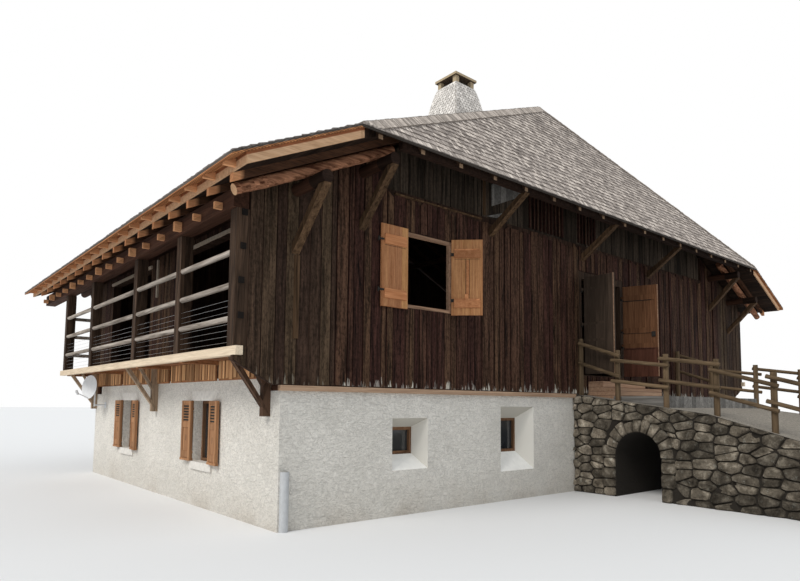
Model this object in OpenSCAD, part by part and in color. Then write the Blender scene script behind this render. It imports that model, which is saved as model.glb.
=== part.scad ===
// Alpine chalet: a rendered masonry ground floor under a boarded timber storey, side galleries,
// a shingled half-hipped roof, a flared chimney, and a stone ramp bridge up to the barn door.
// Millimetres. X runs along the gable with the ramp, Y runs back from it, Z is up.
// The origin lies at ground level under the middle of the masonry.

/* [Masonry storey] */
// Width over the masonry, along the gable
base_w = 17200; // [15000:100:20000]
// Depth over the masonry
base_l = 10800; // [9800:100:14000]
// Height of the masonry under both gables
end_wall_h = 2250; // [2150:10:2350]
// Height of the masonry under both galleries
side_wall_h = 2500; // [2420:10:2560]
// Thickness of the masonry
wall_t = 550; // [450:10:700]
// Thickness of the ground floor slab
slab_t = 150; // [100:10:250]

/* [Ground floor windows] */
// Clear width of a shuttered window
side_window_w = 900; // [600:10:1100]
// Clear height of a shuttered window
side_window_h = 1210; // [900:10:1250]
// Height of the shuttered windows above ground
side_window_z = 870; // [700:10:900]
// Middle of the first shuttered window, from the ramp gable
side_window_near = 3050; // [2400:10:4000]
// Middle of the second shuttered window, from the ramp gable
side_window_far = 7720; // [6500:10:8600]
// Spacing of the windows in the far gable
far_window_pitch = 3600; // [2800:50:4200]
// Height by which the windows of the far gable lie lower
far_window_drop = 60; // [40:5:120]
// Height of the stone lintels
lintel_h = 190; // [150:5:200]
// Length by which a lintel passes the window on each side
lintel_run = 125; // [80:5:200]
// Height of the window sills
sill_h = 150; // [80:5:180]
// Reach of a sill past the wall face
sill_reach = 40; // [20:5:80]
// Width of the wood in window frames
sash_w = 60; // [45:5:80]
// Depth of the wood in window frames
sash_t = 55; // [40:5:80]
// Thickness of the panes
pane_t = 12; // [6:1:20]
// Depth of the shuttered windows behind the wall face
side_reveal = 180; // [100:10:300]
// Width of a ground floor shutter
shutter_w = 400; // [300:10:440]
// Thickness of the ground floor shutters
shutter_t = 35; // [25:1:50]
// Distance of an open shutter from the wall
shutter_gap = 25; // [15:1:50]
// Angle of the open ground floor shutters off the wall
shutter_angle = 4; // [0:1:60]
// Width of the shutter hinges
hinge_w = 40; // [25:1:60]
// Height of the shutter hinges
hinge_h = 50; // [30:1:80]
// Depth of the lintel and sill stones in the wall
stone_t = 160; // [100:5:180]
// Place of the upper far windows, from the middle
far_upper_x = 1600; // [1100:10:2400]
// Height of the upper far windows above ground
far_upper_z = 3800; // [3600:10:4000]

/* [Splayed windows] */
// Left edge of the first splayed opening, from the masonry corner
splay_a_x = 2350; // [2000:10:3000]
// Width of the first splayed opening at the face
splay_a_w = 890; // [700:10:1100]
// Height of the first splayed opening above ground
splay_a_z = 830; // [600:10:1000]
// Height of the first splayed opening at the face
splay_a_h = 960; // [800:10:1100]
// Left edge of the second splayed opening, from the masonry corner
splay_b_x = 5380; // [4500:10:5800]
// Width of the second splayed opening at the face
splay_b_w = 1130; // [900:10:1300]
// Height of the second splayed opening above ground
splay_b_z = 630; // [500:10:800]
// Height of the second splayed opening at the face
splay_b_h = 1390; // [1000:10:1450]
// Depth of the splay before the window
splay_depth = 330; // [200:10:420]
// Width of the windows at the back of the splays
splay_inner_w = 610; // [400:10:800]
// Share of the face height that the inner window keeps
splay_inner_share = 0.54; // [0.45:0.01:0.7]
// Share of the lost height that lies below the inner window
splay_sill_share = 0.6; // [0.5:0.01:0.7]

/* [Timber storey] */
// Top of the gallery boards
floor_z = 2920; // [2880:10:3000]
// Height by which the upper floor lies lower than the gallery boards
floor_drop = 120; // [0:10:130]
// Thickness of the upper floor
floor_t = 180; // [120:10:190]
// Thickness of the boarded walls
clad_t = 70; // [50:5:120]
// Reach of the gable boards past the masonry face
clad_proud = 40; // [20:5:60]
// Thickness of the timber walls behind the galleries
inner_wall_t = 200; // [120:10:260]
// Reach of the timber storey past the masonry at the far gable
back_jetty = 300; // [200:10:600]
// Height of the light board on top of the gable masonry
sill_board_h = 90; // [60:5:120]
// Reach of the light board past the gable boards and the corner
sill_board_over = 30; // [10:5:60]
// Width of the ground beams on the masonry
sill_beam_w = 300; // [250:10:400]
// Drop of the far gable boards under the floor
far_drop = 60; // [0:5:100]
// Height of the boards at the corner under the gallery beam
corner_drop = 80; // [20:5:200]
// Length of the slanting foot of the boards past the masonry corner
corner_cut = 130; // [50:5:300]
// Clear height of the wide doorways behind the gallery
gallery_door_h = 2340; // [1800:10:2400]
// Clear width of the wide doorways behind the gallery
gallery_door_w = 3140; // [1800:10:3300]
// Near edge of the first wide doorway, from the ramp gable
gallery_door_near = 1160; // [800:10:1300]
// Distance of the second wide doorway from the far corner of the masonry
gallery_door_far = 1280; // [800:10:1500]
// Height of the joint under the set-back upper boards
band_z = 6090; // [6000:10:6200]
// Distance of the set-back upper boards from the masonry corner
band_in = 2130; // [1950:10:3200]
// Lap of the upper boards behind the lower ones
band_lap = 150; // [80:5:250]

/* [Galleries] */
// Reach of a gallery past the masonry
gallery_reach = 860; // [700:10:1000]
// Reach of the gallery beam past the gable boards
rim_over = 100; // [10:5:140]
// Run of the gallery past the last post
gallery_tail = 330; // [100:10:500]
// Width of the outer gallery beam
rim_beam_t = 120; // [80:5:160]
// Height of the outer gallery beam
rim_beam_h = 140; // [100:5:200]
// Thickness of the gallery boards
deck_t = 90; // [50:5:120]
// Height of the gallery joists
joist_h = 70; // [50:5:180]
// Width of the gallery joists
joist_w = 140; // [100:5:200]
// Section of the posts
post_w = 220; // [160:5:260]
// Middle of the second post, from the ramp gable
post_2 = 2330; // [2000:10:2800]
// Middle of the third post, from the ramp gable
post_3 = 4800; // [4200:10:5400]
// Middle of the fourth post, from the ramp gable
post_4 = 8230; // [7400:10:8800]
// Diameter of the gallery rails
rail_d = 95; // [60:5:120]
// Height of the lowest gallery rail
rail_z = 3360; // [3200:10:3500]
// Spacing of the gallery rails
rail_pitch = 530; // [400:5:600]
// Thickness of the skirt boards under the gallery
skirt_t = 30; // [20:1:50]
// Height from the foot of the skirt boards to the underside of the deck
skirt_h = 370; // [300:10:380]
// Height of the foot of the brackets under the gallery
bracket_foot_z = 1830; // [1700:10:2000]
// Section of the bracket timbers
bracket_w = 110; // [80:5:160]
// Thickness of the bracket struts
strut_t = 60; // [45:5:110]

/* [Big gable window] */
// Left edge of the big window, from the masonry corner
big_x = 2590; // [2300:10:3000]
// Width of the big window
big_w = 1220; // [900:10:1400]
// Height of the big window above ground
big_z = 3880; // [3600:10:4200]
// Clear height of the big window
big_h = 1460; // [1100:10:1600]
// Thickness of the big shutters
big_shutter_t = 40; // [30:1:60]
// Height by which a big shutter passes the opening
big_shutter_over = 40; // [20:5:80]
// Angle of the right shutter off the wall
big_shutter_angle = 45; // [10:5:80]

// Width of the wood of the big window frame
frame_w = 60; // [40:5:90]
// Reach of the big window frame past the boards
frame_out = 15; // [5:1:30]

/* [Barn door] */
// Left jamb of the barn doorway, from the masonry corner
door_x = 8420; // [8300:10:8800]
// Clear width of the barn doorway
door_w = 1800; // [1600:10:2200]
// Height of the threshold above the upper floor
door_step = 20; // [10:5:60]
// Clear height of the barn doorway
door_h = 2430; // [2100:10:2500]
// Thickness of the leaf boards
leaf_t = 45; // [35:1:60]
// Thickness of the ledges on the leaves
ledge_t = 25; // [15:1:40]
// Height of the ledges
ledge_h = 140; // [80:5:180]
// Width of the door posts
jamb_w = 140; // [100:5:180]
// Depth of the door posts
jamb_d = 160; // [120:5:200]
// Height of the door lintel
door_lintel_h = 170; // [120:5:220]
// Radius of the hinge pins
pin_r = 12; // [8:1:16]
// Clearance of a hinge eye round its pin
pin_gap = 0.4; // [0.3:0.1:1]
// Wall of the hinge eyes
eye_wall = 10; // [8:1:14]
// Height of the hinge straps
strap_h = 60; // [40:5:80]
// Thickness of the hinge straps
strap_t = 8; // [6:1:12]
// Distance of the hinge pins from the doorway edge, into the post
pin_shift = 30; // [25:1:60]
// Height of the pins above the hinge eyes
pin_over = 15; // [8:1:30]
// Height of the hinge brackets
bracket_h = 40; // [25:1:60]
// Clearance round the leaves
leaf_gap = 10; // [6:1:20]
// Opening of the left leaf at rest
left_open = 96; // [80:1:98]
// Opening of the right leaf at rest
right_open = 108; // [90:1:115]

/* [Roof] */
// Height of the roof edge at the eaves
eave_z = 5460; // [5400:10:5560]
// Reach of the eaves past the masonry
eave_reach = 1500; // [1350:10:1800]
// Pitch of the long slopes
main_pitch = 25.44; // [24:0.1:28]
// Pitch of the hips
hip_pitch = 55.8; // [50:0.1:60]
// Plan length of the short rake between eave and hip
rake_run = 2180; // [1900:10:2600]
// Reach of the roof past the ramp gable
front_reach = 1200; // [1100:10:1500]
// Reach of the roof past the far gable
back_reach = 2730; // [1200:10:3000]
// Upright thickness of the shingled skin
skin_v = 60; // [50:5:150]
// Upright thickness of the boarding under the skin
deck_v = 170; // [60:5:200]
// Upright thickness of the hip skin
hip_skin_v = 50; // [40:5:120]
// Distance of the fascia from the eave edge
fascia_in = 260; // [200:5:320]
// Thickness of fascia and bargeboards
fascia_t = 30; // [20:1:45]
// Distance of the bargeboards from the rake edge
barge_in = 40; // [20:5:80]
// Upright thickness of the rafters
rafter_v = 120; // [90:5:160]
// Width of the rafters
rafter_w = 90; // [60:5:120]
// Spacing of the rafters
rafter_pitch = 825; // [600:5:900]
// Reach of the rafter feet past the fascia
rafter_foot = 10; // [0:5:60]
// Distance of the first rafter from the rake edge
rafter_in = 505; // [120:5:600]
// Reach of the bargeboards under the hip edge
rake_extra = 200; // [100:10:300]
// Spacing of the small tails outside the fascia
tail_pitch = 700; // [500:10:900]
// Width of the small tails
tail_w = 60; // [40:5:80]
// Height of the small tails at the fascia
tail_h = 120; // [50:5:130]
// Distance of the small tails from the eave edge
tail_in = 50; // [30:5:90]
// Upright thickness of the hip rafters
hip_rafter_v = 140; // [100:5:180]
// Spacing of the hip rafters
hip_rafter_pitch = 940; // [700:10:1100]

/* [Eave and purlin timbers] */
// Height of the wall plate
plate_h = 300; // [240:5:300]
// Width of the wall plate
plate_w = 260; // [180:5:300]
// Spacing of the tie tails on the plate
tie_pitch = 860; // [700:10:900]
// Height of the small tie tails
tie_h = 110; // [80:5:140]
// Width of the small tie tails
tie_w = 60; // [50:5:80]
// Size of every third tie tail, where the small ones are 1
tie_big = 1.5; // [1:0.1:1.6]
// Reach of the tie tails past the plate
tie_reach = 130; // [80:5:160]
// Height of the tie tails above the foot of the plate
tie_up = 40; // [20:5:80]
// Distance of the first tie tail from the masonry corner
tie_start = 360; // [50:10:500]
// Diameter of the purlins
purlin_d = 210; // [180:5:300]
// Distance of the low purlin from the masonry face
low_purlin_x = 190; // [150:5:260]
// Distance of the middle purlin from the masonry face
mid_purlin_x = 1550; // [1300:10:1800]
// Distance of the high purlin from the masonry face
high_purlin_x = 5000; // [4000:10:6000]
// Distance of the low and middle purlins from the rake edge
purlin_in = 220; // [200:10:400]
// Height of the hip plate
hip_plate_h = 120; // [100:5:240]
// Width of the hip plate
hip_plate_w = 120; // [100:5:220]
// Distance of the hip plate from the hip eave
hip_plate_in = 150; // [120:5:220]
// Rise of the braces under the purlins
brace_rise = 980; // [800:10:1200]
// Rise of the braces under the hip plate
hip_brace_rise = 730; // [600:10:900]
// Rise and reach of the braces of the far gable
far_brace_rise = 1500; // [1100:10:1700]
// Thickness of the braces
brace_t = 120; // [80:5:160]
// Width of the braces
brace_w = 140; // [100:5:180]
// Diameter of the old log along the rake
rake_log_d = 190; // [150:5:240]
// Distance of the old log from the gable boards
rake_log_out = 460; // [130:5:600]
// Distance up the slope from the eave edge to the foot of the old log
rake_log_up = 900; // [500:5:1000]
// Length of the old log
rake_log_l = 2800; // [2400:50:4200]

/* [Chimney] */
// Middle of the chimney, from the ridge
chimney_x = 800; // [700:10:1500]
// Middle of the chimney, from the ramp gable
chimney_y = 3790; // [3000:10:5000]
// Height of the flared stack above the ridge
stack_over = 1195; // [1000:5:1600]
// Width of the stack at its top
stack_top_w = 755; // [600:10:900]
// Width of the stack at its foot
stack_foot_w = 1580; // [1300:10:1700]
// Depth of the foot of the stack in the lower side of the roof
stack_sink = 60; // [20:5:150]
// Bow of the flare, where 1 is straight
stack_bow = 0.75; // [0.6:0.05:1]
// Clear width of the flue
flue_w = 380; // [300:10:450]
// Height of the corner pillars
pillar_h = 190; // [120:5:260]
// Width of the corner pillars
pillar_w = 130; // [80:5:160]
// Thickness of the cap slab
cap_t = 70; // [40:5:100]
// Reach of the cap slab past the stack
cap_reach = 60; // [30:5:120]

/* [Ramp bridge] */
// Left face of the ramp, from the masonry corner
ramp_x = 8100; // [7800:10:8200]
// Width of the ramp
ramp_w = 5300; // [4500:10:5600]
// Height of the ramp at the gable
ramp_z = 2330; // [2200:10:2335]
// Length of the gentle part of the ramp
ramp_flat_l = 3200; // [2800:10:4000]
// Height at the end of the gentle part
ramp_knee_z = 1910; // [1800:10:2100]
// Full length of the ramp
ramp_l = 9500; // [9000:50:12000]
// Height of the ramp at its foot
ramp_foot_z = 120; // [80:5:200]
// Distance of the arch from the gable
arch_y = 1100; // [900:10:1300]
// Width of the arch
arch_w = 1080; // [900:10:1200]
// Height of the springing of the arch
arch_spring_z = 930; // [800:10:1100]
// Depth of one step
step_run = 450; // [350:10:500]
// Number of steps
step_count = 2; // [1:1:2]
// Left end of the steps, from the masonry corner
step_x = 8620; // [8500:10:9000]
// Length of the steps
step_l = 2000; // [1800:10:3000]
// Diameter of the fence posts
fence_post_d = 120; // [90:5:150]
// Height of the fence posts above the ramp
fence_post_h = 1170; // [1000:10:1400]
// Extra height of the first fence posts
fence_lead = 210; // [0:10:300]
// Distance of the fence posts from the ramp edge
fence_in = 160; // [120:5:240]
// Spacing of the fence posts
fence_pitch = 1070; // [1000:10:1090]
// Distance of the first fence post from the gable
fence_first = 110; // [100:5:300]
// Distance by which the second fence post stands nearer to the gable
fence_near = 90; // [0:5:150]
// Number of fence posts on each side
fence_count = 9; // [3:1:9]
// Diameter of the fence rails
fence_rail_d = 85; // [60:5:100]
// Height of the upper fence rail above the ramp
fence_rail_top = 1060; // [900:10:1150]
// Drop from the upper to the lower fence rail
fence_rail_drop = 480; // [300:10:600]
// Drop of every second length of rail, which laps under its neighbours
fence_rail_lap = 135; // [125:5:170]
// Reach of a length of rail past its posts
fence_rail_over = 110; // [60:5:200]
// Height of the landing before the steps above the ramp
landing_h = 80; // [60:5:110]
// Length of the landing before the steps
landing_l = 1340; // [1000:10:1600]

/* [Fittings] */
// Diameter of the aerial dish
dish_d = 650; // [500:10:800]
// Depth of the aerial dish
dish_deep = 60; // [40:5:90]
// Thickness of the dish
dish_t = 8; // [6:1:12]
// Distance of the dish from the wall
dish_out = 400; // [380:10:450]
// Distance of the dish from the far corner of the masonry
dish_in = 1020; // [800:10:1300]
// Height of the middle of the dish
dish_z = 2430; // [2380:10:2440]
// Diameter of the dish mast
mast_d = 40; // [30:1:50]
// Height of the cover at the near corner
cover_h = 950; // [800:10:1300]
// Width of the cover at the near corner
cover_w = 160; // [120:5:200]
// Distance of the cover from the corner
cover_in = 30; // [0:5:100]

/* [Hidden] */
seat = 0.3;
hair = 0.02;
big = 40000;
left_x = -base_w / 2;
front_y = -base_l / 2;
back_y = base_l / 2;
face_y = front_y - clad_proud;
jetty_y = back_y + back_jetty;
half_w = base_w / 2 + eave_reach;
hip_half = half_w - rake_run;
main_rise = tan(main_pitch);
hip_rise = tan(hip_pitch);
ridge_z = roof_z(0);
hip_z = roof_z(hip_half);
edge_front = front_y - front_reach;
edge_back = jetty_y + back_reach;
hip_run = (ridge_z - hip_z) / hip_rise;
apex_front = edge_front + hip_run;
apex_back = edge_back - hip_run;
under_deck = skin_v + deck_v;
under_rafter = under_deck + rafter_v;
under_hip = hip_skin_v + hip_rafter_v;
plate_out = left_x - gallery_reach - 60;
plate_top = roof_z(plate_out) - under_rafter;
deck_bottom = floor_z - deck_t;
barn_floor_z = floor_z - floor_drop;
door_z = barn_floor_z + door_step;
floor_under = barn_floor_z - floor_t;
pivot_y = face_y - pin_r - eye_wall - 12;
pivot_left = [left_x + door_x, pivot_y];
pivot_right = [left_x + door_x + door_w, pivot_y];
leaf_w = door_w / 2 - leaf_gap;
stack_steps = 10;
band_half_w = base_w / 2 - band_in;
stack_top_z = ridge_z + stack_over;
stack_h = stack_top_z - roof_z(chimney_x + stack_foot_w / 2) + stack_sink;
side_wall_top = purlin_z(left_x + low_purlin_x) - purlin_d / 2 - seat;
hinge_heights = [for (f = [0.335, 0.505, 0.865]) door_z + f * door_h];
hip_braces = [5020, 8460, 11690];
bracket_places = [370, post_3 + 880, base_l - bracket_w / 2];
gallery_doors = [gallery_door_near, base_l - gallery_door_far - gallery_door_w];
splays = [
    [left_x + splay_a_x, splay_a_z, splay_a_w, splay_a_h],
    [left_x + splay_b_x, splay_b_z, splay_b_w, splay_b_h],
    [-left_x - splay_a_x - splay_a_w, splay_a_z, splay_a_w, splay_a_h]
];
post_places = [post_w / 2 - clad_proud, post_2, post_3, post_4, base_l + back_jetty - post_w / 2];

// Height of the roof surface over a point at distance x from the ridge
function roof_z(x) = eave_z + (half_w - abs(x)) * main_rise;
// Height of the middle of a purlin at distance x from the ridge
function purlin_z(x) = roof_z(x) - under_rafter - (rake_log_d + purlin_d / 2 + 2 * seat) / cos(main_pitch);
// Height from the foot of a splayed opening of height h to its inner window
function splay_foot(h) = h * (1 - splay_inner_share) * splay_sill_share;
// Height of the hip surface over the ramp gable side at a place y
function hip_surface(y) = hip_z + (y - edge_front) * hip_rise;
// Height of the ramp surface at a distance from the gable
function ramp_top(d) = d < ramp_flat_l
    ? ramp_z - (ramp_z - ramp_knee_z) * d / ramp_flat_l
    : ramp_knee_z - (ramp_knee_z - ramp_foot_z) * (d - ramp_flat_l) / (ramp_l - ramp_flat_l);

// Distance of a fence post from the gable
function fence_d(i) = fence_first + i * fence_pitch - (i == 1 ? fence_near : 0);

// Sweeps a profile drawn in X and Z from y0 to y1
module along_y(y0, y1) {
    translate([0, y1, 0])
        rotate([90, 0, 0])
            linear_extrude(y1 - y0)
                children();
}

// Sweeps a profile drawn in Y and Z from x0 to x1
module along_x(x0, x1) {
    translate([x0, 0, 0])
        rotate([90, 0, 90])
            linear_extrude(x1 - x0)
                children();
}

// A box between two corners
module block(low, high) {
    translate(low)
        cube(high - low);
}

// Repeats the left half on the right
module both_sides() {
    children();
    mirror([1, 0, 0])
        children();
}

// Plan of the left half of the long slopes, drawn in by set at the rakes
module slope_plan(set) {
    polygon([
        [-half_w, edge_front + set],
        [-hip_half, edge_front + set],
        [0, apex_front + set],
        [0, apex_back - set],
        [-hip_half, edge_back - set],
        [-half_w, edge_back - set]
    ]);
}

// Keeps what lies within the left long slope in plan
module within_slope(set) {
    intersection() {
        children();
        linear_extrude(2 * ridge_z)
            slope_plan(set);
    }
}

// A sloping layer of the left roof between two depths under its surface, ending at x0
module slope_layer(x0, depth_0, depth_1) {
    along_y(edge_front, edge_back)
        polygon([
            [x0, roof_z(x0) - depth_0],
            [0, ridge_z - depth_0],
            [0, ridge_z - depth_1],
            [x0, roof_z(x0) - depth_1]
        ]);
}

// A sloping layer of the ramp side hip between two depths under its surface
module hip_layer(x0, x1, y0, depth_0, depth_1) {
    along_x(x0, x1)
        polygon([
            [y0, hip_surface(y0) - depth_0],
            [apex_front, ridge_z - depth_0],
            [apex_front, ridge_z - depth_1],
            [y0, hip_surface(y0) - depth_1]
        ]);
}

// Keeps what lies within the ramp side hip in plan
module within_hip() {
    intersection() {
        children();
        linear_extrude(2 * ridge_z)
            polygon([[-hip_half, edge_front], [hip_half, edge_front], [0, apex_front]]);
    }
}

// Turns what is drawn for the ramp gable to the far gable
module to_far_gable() {
    translate([0, edge_front + edge_back, 0])
        mirror([0, 1, 0])
            children();
}

// Cuts a gable wall to the roof over it
module gable_cut() {
    polygon([
        [-half_w, roof_z(half_w) - under_rafter],
        [0, ridge_z - under_rafter],
        [half_w, roof_z(half_w) - under_rafter],
        [half_w, big],
        [-half_w, big]
    ]);
}

// Rectangle between two heights in a wall drawn in X and Z
module panel(x0, z0, x1, z1) {
    translate([x0, z0])
        square([x1 - x0, z1 - z0]);
}

// Slanting sides, foot and head of an opening that narrows inwards in plan and in height
module splay_lining(x, z, w, h) {
    side = (w - splay_inner_w) / 2;
    foot = splay_foot(h);
    head = foot + h * splay_inner_share;
    cheek = [[0, 0], [side, splay_depth], [side, wall_t], [0, wall_t]];
    translate([x, front_y, z]) {
        linear_extrude(h)
            polygon(cheek);
        translate([w, 0, 0])
            mirror([1, 0, 0])
                linear_extrude(h)
                    polygon(cheek);
        intersection() {
            translate([seat, 0, 0])
                linear_extrude(h)
                    polygon([
                        [0, 0],
                        [w - 2 * seat, 0],
                        [w - 2 * seat - side, splay_depth],
                        [w - 2 * seat - side, wall_t],
                        [side, wall_t],
                        [side, splay_depth]
                    ]);
            along_x(0, w) {
                polygon([[0, 0], [splay_depth, foot], [wall_t, foot], [wall_t, 0]]);
                polygon([[0, h], [splay_depth, head], [wall_t, head], [wall_t, h]]);
            }
        }
    }
}

// Frame of a window, upright in X and Z, its outer face at y = 0 and its middle at x = 0
module sash(w, h) {
    along_y(0, sash_t)
        difference() {
            translate([-w / 2, 0])
                square([w, h]);
            translate([-w / 2 + sash_w, sash_w])
                square([(w - 3 * sash_w) / 2, h - 2 * sash_w]);
            translate([sash_w / 2, sash_w])
                square([(w - 3 * sash_w) / 2, h - 2 * sash_w]);
        }
}

// Frame with one light
module small_sash(w, h) {
    along_y(0, sash_t)
        difference() {
            translate([-w / 2, 0])
                square([w, h]);
            translate([-w / 2 + sash_w, sash_w])
                square([w - 2 * sash_w, h - 2 * sash_w]);
        }
}

// Pane that closes a window right behind its frame
module pane(w, h) {
    block([-w / 2, sash_t, 0], [w / 2, sash_t + pane_t, h]);
}

// An open pair of shutters on their hinges, flat boards with a ledge frame
module shutter_pair(w, h) {
    for (side = [-1, 1])
        translate([side * w / 2, 0, 0])
            rotate([0, 0, -side * shutter_angle])
                mirror([side < 0 ? 1 : 0, 0, 0]) {
                    block([0, -shutter_gap - shutter_t, 0], [shutter_w, -shutter_gap, h]);
                    for (z = [h * 0.12, h * 0.84])
                        block([0, -shutter_gap, z], [hinge_w, 0, z + hinge_h]);
                }
}

// Places what is drawn for a window of the front wall at each shuttered ground floor window
module at_shuttered_windows() {
    for (y = [front_y + side_window_near, front_y + side_window_far]) {
        translate([left_x, y, side_window_z])
            rotate([0, 0, -90])
                children();
        translate([-left_x, y, side_window_z])
            rotate([0, 0, 90])
                children();
    }
    for (i = [-1, 0, 1])
        translate([i * far_window_pitch, back_y, side_window_z - far_window_drop])
            rotate([0, 0, 180])
                children();
}

// Places what is drawn for a window of the front wall at each window of the far boards
module at_upper_windows() {
    for (side = [-1, 1])
        translate([side * far_upper_x, jetty_y, far_upper_z])
            rotate([0, 0, 180])
                children();
}

module ground_slab() {
    color("gainsboro")
        block([left_x + wall_t, front_y + wall_t, 0], [-left_x - wall_t, back_y - wall_t, slab_t]);
}

module masonry_ramp_gable() {
    color("antiquewhite")
        difference() {
            block([left_x, front_y, 0], [-left_x, front_y + wall_t, end_wall_h]);
            for (v = splays)
                block([v[0], front_y - 1, v[1]], [v[0] + v[2], front_y + wall_t + 1, v[1] + v[3]]);
        }
}

module masonry_far_gable() {
    color("antiquewhite")
        difference() {
            block([left_x, back_y - wall_t, 0], [-left_x, back_y, end_wall_h]);
            at_shuttered_windows()
                block([-side_window_w / 2, -1, 0], [side_window_w / 2, wall_t + 1, side_window_h]);
            at_shuttered_windows()
                window_stone_seats();
        }
}

module masonry_sides() {
    color("antiquewhite")
        difference() {
            both_sides()
                block([left_x, front_y + wall_t, 0], [left_x + wall_t, back_y - wall_t, side_wall_h]);
            at_shuttered_windows()
                block([-side_window_w / 2, -1, 0], [side_window_w / 2, wall_t + 1, side_window_h]);
            at_shuttered_windows()
                window_stone_seats();
        }
}

module window_splays() {
    color("antiquewhite")
        for (v = splays)
            splay_lining(v[0], v[1], v[2], v[3]);
}

// Lintel and sill stones of a shuttered window, grown by grow on their ends
module window_stones_at(grow, reach) {
    half = side_window_w / 2;
    block([-half - lintel_run, -reach, side_window_h],
        [half + lintel_run, stone_t, side_window_h + lintel_h]);
    block([-half - lintel_run / 2, -reach - sill_reach * grow, -sill_h],
        [half + lintel_run / 2, stone_t, 0]);
}

// Room for the stones in the wall
module window_stone_seats() {
    window_stones_at(0, 1);
}

module window_stones() {
    color("gainsboro")
        at_shuttered_windows()
            window_stones_at(1, 0);
}

module window_frames() {
    color("sienna") {
        at_shuttered_windows()
            translate([0, side_reveal, 0])
                sash(side_window_w, side_window_h);
        at_upper_windows()
            sash(side_window_w, side_window_h);
        for (v = splays)
            translate([v[0] + v[2] / 2, front_y + splay_depth, v[1] + splay_foot(v[3])])
                small_sash(splay_inner_w, v[3] * splay_inner_share);
    }
}

module window_panes() {
    color("darkslategray") {
        at_shuttered_windows()
            translate([0, side_reveal, 0])
                pane(side_window_w, side_window_h);
        at_upper_windows()
            pane(side_window_w, side_window_h);
        for (v = splays)
            translate([v[0] + v[2] / 2, front_y + splay_depth, v[1] + splay_foot(v[3])])
                pane(splay_inner_w, v[3] * splay_inner_share);
    }
}

module window_shutters() {
    color("peru") {
        at_shuttered_windows()
            shutter_pair(side_window_w, side_window_h);
        at_upper_windows()
            shutter_pair(side_window_w, side_window_h);
    }
}

module sill_boards() {
    color("burlywood") {
        block([left_x - sill_board_over, face_y - sill_board_over, end_wall_h],
            [left_x + ramp_x - seat, face_y + clad_t, end_wall_h + sill_board_h]);
        block([left_x + ramp_x + ramp_w + seat, face_y - sill_board_over, end_wall_h],
            [-left_x + sill_board_over, face_y + clad_t, end_wall_h + sill_board_h]);
    }
}

module floor_sills() {
    color("saddlebrown") {
        both_sides()
            block([left_x, front_y + wall_t, side_wall_h],
                [left_x + sill_beam_w, back_y - wall_t, floor_under]);
        block([left_x, face_y + clad_t, end_wall_h],
            [-left_x, front_y + sill_beam_w, floor_under]);
        block([left_x, back_y - sill_beam_w, end_wall_h],
            [-left_x, back_y, floor_under]);
    }
}

module upper_floor() {
    color("tan")
        block([left_x, front_y + clad_t - clad_proud, floor_under],
            [-left_x, jetty_y - clad_t, barn_floor_z]);
}

// Round log along Y, given its distance from the masonry face or the ridge
module purlin_at(x, y0, y1, d) {
    translate([x, y0, purlin_z(x)])
        rotate([-90, 0, 0])
            cylinder(d = d, h = y1 - y0, $fn = 48);
}

// All purlins, grown by grow in diameter
module purlin_set(grow) {
    d = purlin_d + grow;
    both_sides() {
        purlin_at(left_x + low_purlin_x, edge_front + purlin_in, edge_back - purlin_in, d);
        purlin_at(left_x + mid_purlin_x, edge_front + purlin_in, edge_back - purlin_in, d);
        purlin_at(left_x + high_purlin_x, face_y + clad_t, apex_back, d);
    }
    purlin_at(0, apex_front + purlin_in, apex_back, d);
}

module purlins() {
    color("saddlebrown")
        purlin_set(0);
}

// A part of the ramp gable boards, drawn in X and Z, cut to the roof and bored for the purlins
module gable_boards(y0) {
    difference() {
        along_y(y0, y0 + clad_t)
            difference() {
                children();
                gable_cut();
                panel(-half_w, hip_surface(y0) - under_hip, half_w, big);
            }
        purlin_set(2);
    }
}

// The lower boards of the left half of the ramp gable, up to the edge of the doorway
module lower_boards(x_end) {
    foot = end_wall_h + sill_board_h;
    rim = left_x - gallery_reach;
    polygon([
        [rim + post_w, big / 4],
        [rim + post_w, floor_z],
        [rim + rim_beam_t, floor_z],
        [rim + rim_beam_t, floor_z - rim_beam_h],
        [rim, floor_z - rim_beam_h],
        [rim, floor_z - rim_beam_h - corner_drop],
        [left_x - sill_board_over - corner_cut, foot],
        [x_end, foot],
        [x_end, band_z],
        [-band_half_w, band_z],
        [-band_half_w, big / 4]
    ]);
}

module gable_boards_left() {
    color("#4a362a")
        gable_boards(face_y)
            difference() {
                lower_boards(left_x + door_x - jamb_w);
                translate([left_x + big_x, big_z])
                    square([big_w, big_h]);
            }
}

module gable_boards_right() {
    color("#4a362a")
        gable_boards(face_y)
            mirror([1, 0])
                lower_boards(-left_x - door_x - door_w - jamb_w);
}

module gable_boards_at_door() {
    x0 = left_x + door_x - jamb_w;
    x1 = left_x + door_x + door_w + jamb_w;
    color("#4a362a")
        gable_boards(face_y) {
            panel(x0, end_wall_h + sill_board_h, x1, barn_floor_z);
            panel(x0, door_z + door_h + door_lintel_h, x1, band_z);
        }
}

module gable_upper_boards() {
    color("#3c2c22")
        gable_boards(face_y + clad_t)
            panel(-band_half_w, band_z - band_lap, band_half_w, big / 4);
}

module far_gable_boards() {
    color("#4a362a")
        difference() {
            along_y(jetty_y - clad_t, jetty_y)
                difference() {
                    panel(left_x, floor_under - far_drop, -left_x, big / 4);
                    gable_cut();
                }
            at_upper_windows()
                block([-side_window_w / 2, -1, 0], [side_window_w / 2, clad_t + 1, side_window_h]);
            purlin_set(2);
        }
}

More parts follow.
